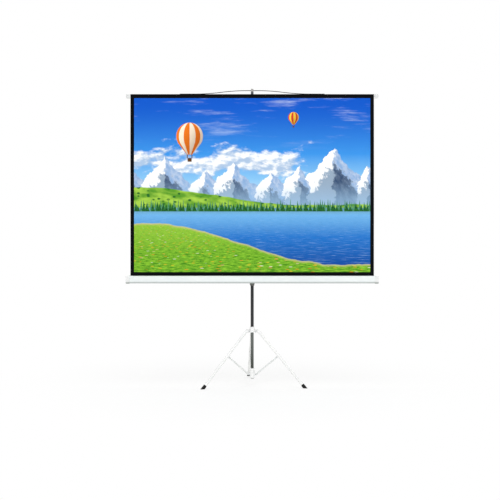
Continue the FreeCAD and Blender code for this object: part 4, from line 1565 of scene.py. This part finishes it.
@dataclass
class Batten(Assembly):
    """The top batten's cloth sleeve and end caps, and the spring-steel pull strap."""

    wall: float = 0.0005
    hem_round: float = 0.0015
    hem_steps: int = 7
    weld_height: float = 0.006
    weld_width: float = 0.0022
    weld_depth: float = 0.0005
    slack: float = 0.0003
    close_slack: float = 31.0
    wide_slack: float = 7.3
    hem_rows: int = 121
    cap_round: float = 0.004
    cap_crown: float = 0.0015
    cap_wall: float = 0.0008
    flat_end: float = 0.125
    flat_middle: float = 0.04
    strap_edge: float = 0.0012
    strap_steps: int = 5
    strap_thickness: float = 0.0044
    strap_rows: int = 241
    end_shares: tuple[float, ...] = (0.06, 0.6, 1.0)
    end_places: tuple[float, ...] = (0.0, 0.0004, 0.0012)
    end_width: float = 0.93

    def build(self) -> None:
        """Makes the sleeve, the caps and the strap."""
        self._hem()
        self._strap()
        for node in ("batten_cap_left", "batten_cap_right"):
            skin = cup(*box_of(node), (self.cap_round,) * 4, self.cap_wall, self.cap_round,
                       self.cap_crown)
            self.bench.instead(node, f"{node}_crowned", [skin], Surface.PALE_MOULDING)

    def _hem(self) -> None:
        """The sleeve: a rounded outline carried along X and back inside it, welded in front."""
        low, high = box_of("batten_hem")
        rounds = (self.hem_round,) * 4
        outer = self._finer(box_outline(low[1:], high[1:], rounds, steps=self.hem_steps))
        drawn_in = (high - low - 2 * self.wall)[1:] / (high - low)[1:]
        inner = low[1:] + self.wall + (outer - low[1:]) * drawn_in
        along = np.linspace(low[0], high[0], self.hem_rows)
        front = outer[:, 0] < low[1] + self.wall
        aside = (outer[:, 1] - low[2] - self.weld_height) / self.weld_width
        weld = self.weld_depth * np.exp(-aside ** 2) * front
        wide = np.sin(along * self.wide_slack + 1)
        ripple = self.slack * np.sin(along * self.close_slack) * wide
        outside, inside = carried(along, outer), carried(along, inner)
        outside[..., 1] -= weld + np.where(front, abs(ripple)[:, None], 0.0)
        rings = np.concatenate([outside, inside[::-1]])
        self.bench.instead("batten_hem", "batten_sleeve", [Skin.over(rings, Ends.LOOP)])

    def _finer(self, outline: np.ndarray, parts: int = 14) -> np.ndarray:
        """Puts even points into an outline's long sides.

        Args:
            outline: Closed outline as (point, 2).
            parts: Pieces that each side between corners is cut into.

        Returns:
            The outline with more points.
        """
        after = np.roll(outline, -1, axis=0)
        long = np.linalg.norm(after - outline, axis=1) > self.hem_round
        share = np.linspace(0, 1, parts, endpoint=False)[:, None]
        return np.vstack([start + (end - start) * (share if cut else share[:1])
                          for start, end, cut in zip(outline, after, long)])

    def _strap(self) -> None:
        """The strap: a flat section with rounded edges carried along a bow.

        From each flat end the bow rises on one arc and runs out into the flat crown on an arc of
        the same radius the other way, so each arc takes half the run and half the rise.
        """
        low, high = box_of("pull_strap")
        rise = high[2] - low[2] - self.strap_thickness
        half_run = (high[0] - self.flat_end - self.flat_middle) / 2
        radius = (half_run ** 2 + (rise / 2) ** 2) / rise
        along = np.linspace(low[0], high[0], self.strap_rows)
        run = np.clip(high[0] - self.flat_end - abs(along), 0, 2 * half_run)
        left = 2 * half_run - run
        lower = radius - np.sqrt(radius ** 2 - np.minimum(run, half_run) ** 2)
        upper = rise - radius + np.sqrt(radius ** 2 - np.minimum(left, half_run) ** 2)
        bow = np.where(run < half_run, lower, upper)
        section = box_outline((low[1], 0.0), (high[1], self.strap_thickness),
                              (self.strap_edge,) * 4, steps=self.strap_steps)
        ends = np.ones(self.strap_rows)
        count = len(self.end_shares)
        ends[:count], ends[:-count - 1:-1] = self.end_shares, self.end_shares
        widths = self.end_width + (1 - self.end_width) * ends
        middle = section.mean(axis=0)
        drawn = middle + (section - middle) * np.stack([widths, ends], -1)[:, None]
        drawn[..., 1] += low[2] + bow[:, None]
        for k, place in enumerate(self.end_places):
            along[k], along[-1 - k] = low[0] + place, high[0] - place
        self.bench.instead("pull_strap", "pull_strap_bow", [Skin.over(carried(along, drawn))])


@dataclass
class CaseEnds(Assembly):
    """The case's two end caps and their cross-head screws."""

    rounds: tuple[float, float, float, float] = (0.019, 0.010, 0.010, 0.012)
    wall: float = 0.0014
    edge: float = 0.004
    crown: float = 0.0012
    arm: float = 0.00055
    reach: float = 0.0021
    depth: float = 0.0011
    rim: float = 0.45
    point: float = 0.0008
    point_share: float = 0.2
    middle_share: float = 0.04
    rows: int = 22
    around: int = 64

    def build(self) -> None:
        """Makes the caps and the screws."""
        for node in ("end_cap_left", "end_cap_right"):
            skin = cup(*box_of(node), self.rounds, self.wall, self.edge, self.crown)
            self.bench.instead(node, f"{node}_crowned", [skin], Surface.CAP_MOULDING)
        skins = [self._screw(points) for points in islands("end_cap_screws")]
        self.bench.instead("end_cap_screws", "end_cap_cross_screws", skins)

    def _screw(self, points: np.ndarray) -> Skin:
        """A pan-head screw: a shank, and a domed head on a polar grid with a cross sunk into it.

        Args:
            points: Points of the screw's solid.

        Returns:
            The surface.
        """
        low, high = points.min(axis=0), points.max(axis=0)
        out = 1.0 if high[0] > 0 else -1.0
        tip, end = (high[0], low[0]) if out > 0 else (low[0], high[0])
        middle = (low + high)[1:] / 2
        radius = (high - low)[1] / 2
        levels = np.unique(np.round(points[:, 0], 5))
        height = abs(levels[-1] - levels[-2]) if out > 0 else abs(levels[1] - levels[0])
        shank = np.linalg.norm(points[:, 1:] - middle, axis=1).min()
        turn = np.linspace(0, 2 * np.pi, self.around, endpoint=False)
        stem = shank * np.array([self.point_share, 1.0, 1.0])
        head = radius * np.concatenate([[1.0], np.linspace(1.0, self.middle_share, self.rows)])
        spread = np.concatenate([stem, head])[:, None]
        y, z = spread * np.cos(turn), spread * np.sin(turn)
        away = np.hypot(y, z)
        cross = (np.minimum(abs(y), abs(z)) < self.arm) & (away < self.reach)
        swell = np.sqrt(np.clip(1 - (away / radius) ** 2, 0, 1))
        under = tip - out * height
        x = under + out * (height * (self.rim + (1 - self.rim) * swell) - self.depth * cross)
        x[:4] = np.array([end, end + out * self.point, under, under])[:, None]
        return Skin.over(np.stack([x, middle[0] + y, middle[1] + z], -1))


@dataclass
class Knobs(Assembly):
    """The three clamping knobs: stud, neck and a fluted grip."""

    joints: dict[str, str] = field(default_factory=lambda: {
        "pole_lock_knob": "pole_knob_turn", "carriage_knob": "carriage_knob_turn",
        "collar_knob": "collar_knob_turn"})
    grip_length: float = 0.017
    grip_radius: float = 0.015
    neck_length: float = 0.005
    neck_radius: float = 0.008
    neck_edge: float = 0.0008
    stud_radius: float = 0.003
    stud_edge: float = 0.0005
    stud_share: float = 0.8
    lobes: int = 7
    lobe_steps: int = 14
    flute: float = 0.15
    edge: float = 0.0024
    edge_steps: int = 7
    dish: float = 0.0012
    dish_share: float = 0.62
    dish_rings: tuple[float, ...] = (1.0, 0.7, 0.4, 0.05)

    def build(self) -> None:
        """Makes the knobs along their joints' axes."""
        for node, joint in self.joints.items():
            axis = np.array(joint_of(joint)["axis"])
            along = np.vstack(islands(node)) @ axis
            tip, end = along.min(), along.max()
            start = joint_point(joint) - axis * (joint_point(joint) @ axis - tip)
            self.bench.instead(node, f"{node}_fluted", [self._skin(start, axis, end - tip)])

    def _skin(self, start: np.ndarray, axis: np.ndarray, length: float) -> Skin:
        """A knob: stations from the stud's tip out, and flutes as a wave round the grip.

        Args:
            start: The stud's tip.
            axis: Direction outwards.
            length: Length over all.

        Returns:
            The surface.
        """
        shoulder = length - self.grip_length
        neck = shoulder - self.neck_length
        stem = np.array([(0.0, self.stud_radius * self.stud_share),
                         (self.stud_edge, self.stud_radius), (neck, self.stud_radius),
                         (neck, self.neck_radius - self.neck_edge),
                         (neck + self.neck_edge, self.neck_radius), (shoulder, self.neck_radius)])
        grip = rounded(shoulder, length, self.grip_radius, self.edge, self.edge_steps)
        hollow = self.grip_radius * self.dish_share
        dish = np.array([(length - self.dish * (1 - k ** 2), hollow * k) for k in self.dish_rings])
        stations = np.vstack([stem, grip, dish])
        turn = np.linspace(0, 2 * np.pi, self.lobes * self.lobe_steps, endpoint=False)
        wave = ((1 + np.cos(self.lobes * turn)) / 2) ** 2
        depth = np.zeros(len(stations))
        depth[len(stem):len(stem) + len(grip)] = self.flute
        return Skin.turned(start, axis, stations, len(turn), 1 - depth[:, None] * wave)


@dataclass
class Feet(Assembly):
    """The three rubber feet: a ringed boot along each leg, cut flat by the floor."""

    radius: float = 0.014
    top_radius: float = 0.0126
    length: float = 0.036
    taper: float = 0.011
    offset: float = 0.019
    lip: float = 0.0012
    lip_place: float = 0.0022
    lip_width: float = 0.0016
    grooves: int = 3
    groove_depth: float = 0.0008
    groove_width: float = 0.0008
    groove_pitch: float = 0.0045
    groove_start: float = 0.014
    lead: float = 0.0002
    lead_share: float = 0.9
    rows: int = 90
    around: int = 64

    def build(self) -> None:
        """Makes a foot on each leg."""
        column = np.array([0.0, COLUMN_DEPTH, 0.0])
        collar = joint_point("collar_level")
        pivot_radius = np.hypot(*(collar - column)[:2])
        for side in ("left", "right", "rear"):
            brace_pivot = joint_point(f"leg_{side}_fold")
            outward = (brace_pivot - column) * np.array([1.0, 1.0, 0.0])
            outward /= np.linalg.norm(outward)
            top = column + outward * pivot_radius + np.array([0.0, 0.0, collar[2]])
            along = (brace_pivot - top) / np.linalg.norm(brace_pivot - top)
            above = np.cross(along, np.cross(outward, (0.0, 0.0, 1.0)))
            above *= np.sign(above[2])
            axis_top = top + above * self.offset
            boot = self._boot(axis_top, along, axis_top[2] / -along[2])
            self.bench.instead(f"foot_{side}", f"foot_{side}_boot", [boot])

    def _boot(self, top: np.ndarray, along: np.ndarray, floor: float) -> Skin:
        """One boot: a tapered round with a lip and grip rings.

        A point under the floor goes back along the leg until it is on the floor, so the end is a
        flat oval.

        Args:
            top: Start of the leg's axis.
            along: Direction of the leg, down.
            floor: Distance along the axis at which it meets the floor.

        Returns:
            The surface.
        """
        reach = self.radius * math.hypot(along[0], along[1]) / -along[2]
        first = floor - self.length
        place = np.linspace(0, floor + reach - first, self.rows)
        spread = np.clip(place / self.taper, 0, 1)
        width = self.top_radius + (self.radius - self.top_radius) * spread
        width += self.lip * np.exp(-((place - self.lip_place) / self.lip_width) ** 2)
        for k in range(self.grooves):
            aside = (place - self.groove_start - k * self.groove_pitch) / self.groove_width
            width -= self.groove_depth * np.exp(-aside ** 2)
        width = np.minimum(width, self.radius)
        lead = np.array([(first - self.lead, width[0] * self.lead_share)])
        stations = np.vstack([lead, np.stack([first + place, width], -1)])
        skin = Skin.turned(top, along, stations, self.around)
        below = np.minimum(skin.points[:, 2], 0.0)
        skin.points = skin.points - (below / along[2])[:, None] * along
        return skin


@dataclass
class MainSpring(Assembly):
    """The roller's torsion spring, close-wound from round wire."""

    wire: float = 0.0009
    pitch: float = 0.0036
    per_turn: int = 20
    around: int = 6

    def build(self) -> None:
        """Makes the spring: a circle of wire carried along a helix about X."""
        low, high = box_of("torsion_spring")
        middle = (low + high)[1:] / 2
        radius = (high - low)[2] / 2 - self.wire
        turns = (high[0] - low[0] - 2 * self.wire) / self.pitch
        turn = np.linspace(0, 2 * np.pi * turns, int(turns * self.per_turn))
        spoke = np.stack([np.zeros_like(turn), np.cos(turn), np.sin(turn)], -1)
        path = spoke * radius + np.array([low[0] + self.wire, *middle])
        path[:, 0] += self.pitch * turn / (2 * np.pi)
        ring = np.linspace(0, 2 * np.pi, self.around, endpoint=False)
        rings = path[:, None] + self.wire * (
            np.cos(ring)[None, :, None] * spoke[:, None]
            + np.sin(ring)[None, :, None] * np.array([1.0, 0.0, 0.0]))
        self.bench.instead("torsion_spring", "torsion_spring_coil", [Skin.over(rings)])


@dataclass(frozen=True)
class Lamp:
    """A soft square lamp: where it stands and points, the side of its square, and its watts."""

    name: str
    place: Place
    aim: Place
    size: float
    power: float

    def build(self) -> None:
        """Sets the lamp up."""
        light = bpy.data.lights.new(self.name, "AREA")
        light.size = self.size
        light.energy = self.power
        made = bpy.data.objects.new(self.name, light)
        made.location = self.place
        way = Vector(self.aim) - Vector(self.place)
        made.rotation_euler = way.to_track_quat("-Z", "Y").to_euler()
        bpy.context.scene.collection.objects.link(made)


@dataclass
class Studio:
    """Floor, lamps, background and camera."""

    floor_half: float = 30.0
    floor_gap: float = 0.0004
    floor_colour: str = "f4f4f3"
    floor_roughness: float = 0.9
    bounce_colour: str = "f2f2f0"
    near_white: float = 0.68
    fade_start: float = 0.5
    fade_end: float = 2.2
    ambient: float = 0.5
    camera_side: float = -0.018
    camera_distance: float = 10.0
    camera_height: float = 1.521
    camera_sensor: float = 36.0
    lens: float = 87.18
    camera_shift: float = -0.1
    lamps: tuple[Lamp, ...] = (
        Lamp("key_lamp", (-3.2, -5.2, 2.4), (0.0, -0.1, 0.9), 3.0, 82.0),
        Lamp("fill_lamp", (3.6, -5.0, 1.7), (0.0, -0.1, 0.9), 3.0, 74.0),
        Lamp("back_lamp", (0.8, 4.2, 4.4), (0.0, -0.1, 1.2), 3.0, 90.0),
        Lamp("top_lamp", (0.0, -0.6, 5.2), (0.0, -0.1, 0.0), 4.0, 110.0))

    def build(self) -> None:
        """Sets up the studio."""
        self._floor()
        self._background()
        for lamp in self.lamps:
            lamp.build()
        self._camera()
        bpy.context.scene.view_settings.view_transform = "Standard"

    def _floor(self) -> None:
        """A pale floor that keeps the shadow near the screen and runs out to white."""
        half, level = self.floor_half, -self.floor_gap
        corners = [(-half, -half, level), (half, -half, level), (half, half, level),
                   (-half, half, level)]
        mesh = bpy.data.meshes.new("floor")
        mesh.from_pydata(corners, [], [(0, 1, 2, 3)])
        floor = bpy.data.objects.new("floor", mesh)
        bpy.context.scene.collection.objects.link(floor)
        made = Coat("Pale studio floor")
        graph = made.graph
        seen = self._seen(graph)
        base = graph.mix(seen, ink(self.bounce_colour), ink(self.floor_colour))
        graph.feed(made.shader.inputs["Base Color"], base)
        made.shader.inputs["Roughness"].default_value = self.floor_roughness
        x, y, _ = graph.axes(graph.place())
        far = graph.rise(graph.math("SQRT", x * x + y * y), self.fade_start, self.fade_end)
        far = far * (1 - self.near_white) + self.near_white
        white = graph.node("ShaderNodeEmission", {"Color": ink("ffffff"), "Strength": 1.0})
        mixed = graph.node("ShaderNodeMixShader", {0: far * seen, 1: made.shader.outputs[0],
                                                   2: white.outputs[0]})
        output = made.material.node_tree.nodes["Material Output"]
        graph.feed(output.inputs["Surface"], mixed.outputs[0])
        mesh.materials.append(made.material)

    def _background(self) -> None:
        """White for the camera and for reflections, and a plain soft level as light."""
        world = bpy.data.worlds.new("Studio white")
        world.use_nodes = True
        graph = Graph(world.node_tree)
        strength = self._seen(graph) * (1 - self.ambient) + self.ambient
        shader = world.node_tree.nodes["Background"]
        shader.inputs["Color"].default_value = ink("ffffff")
        graph.feed(shader.inputs["Strength"], strength)
        bpy.context.scene.world = world

    def _seen(self, graph: Graph) -> Signal:
        """1 for what the camera sees directly, mirrored or through a clear piece, and 0 for light.

        Args:
            graph: The graph that asks.

        Returns:
            The switch.
        """
        path = graph.node("ShaderNodeLightPath")
        mirrored = graph.math("MAXIMUM", graph.out(path, "Is Glossy Ray"),
                              graph.out(path, "Is Transmission Ray"))
        return graph.math("MAXIMUM", graph.out(path, "Is Camera Ray"), mirrored)

    def _camera(self) -> None:
        """A level camera in front of the screen, shifted down to the photo's framing."""
        camera = bpy.data.cameras.new("camera")
        camera.lens = self.lens
        camera.sensor_width = self.camera_sensor
        camera.shift_y = self.camera_shift
        made = bpy.data.objects.new("camera", camera)
        depth = COLUMN_DEPTH - self.camera_distance
        made.location = (self.camera_side, depth, self.camera_height)
        made.rotation_euler = (math.pi / 2, 0.0, 0.0)
        bpy.context.scene.collection.objects.link(made)
        bpy.context.scene.camera = made


def main() -> None:
    """Dresses the screen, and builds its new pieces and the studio."""
    logging.basicConfig(level=logging.INFO, format="%(name)s: %(message)s")
    bench = Bench()
    bench.dress()
    for assembly in (Screen, Batten, CaseEnds, Knobs, Feet, MainSpring, Fasteners):
        assembly(bench).build()
    Studio().build()
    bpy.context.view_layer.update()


if __name__ == "__main__":
    main()
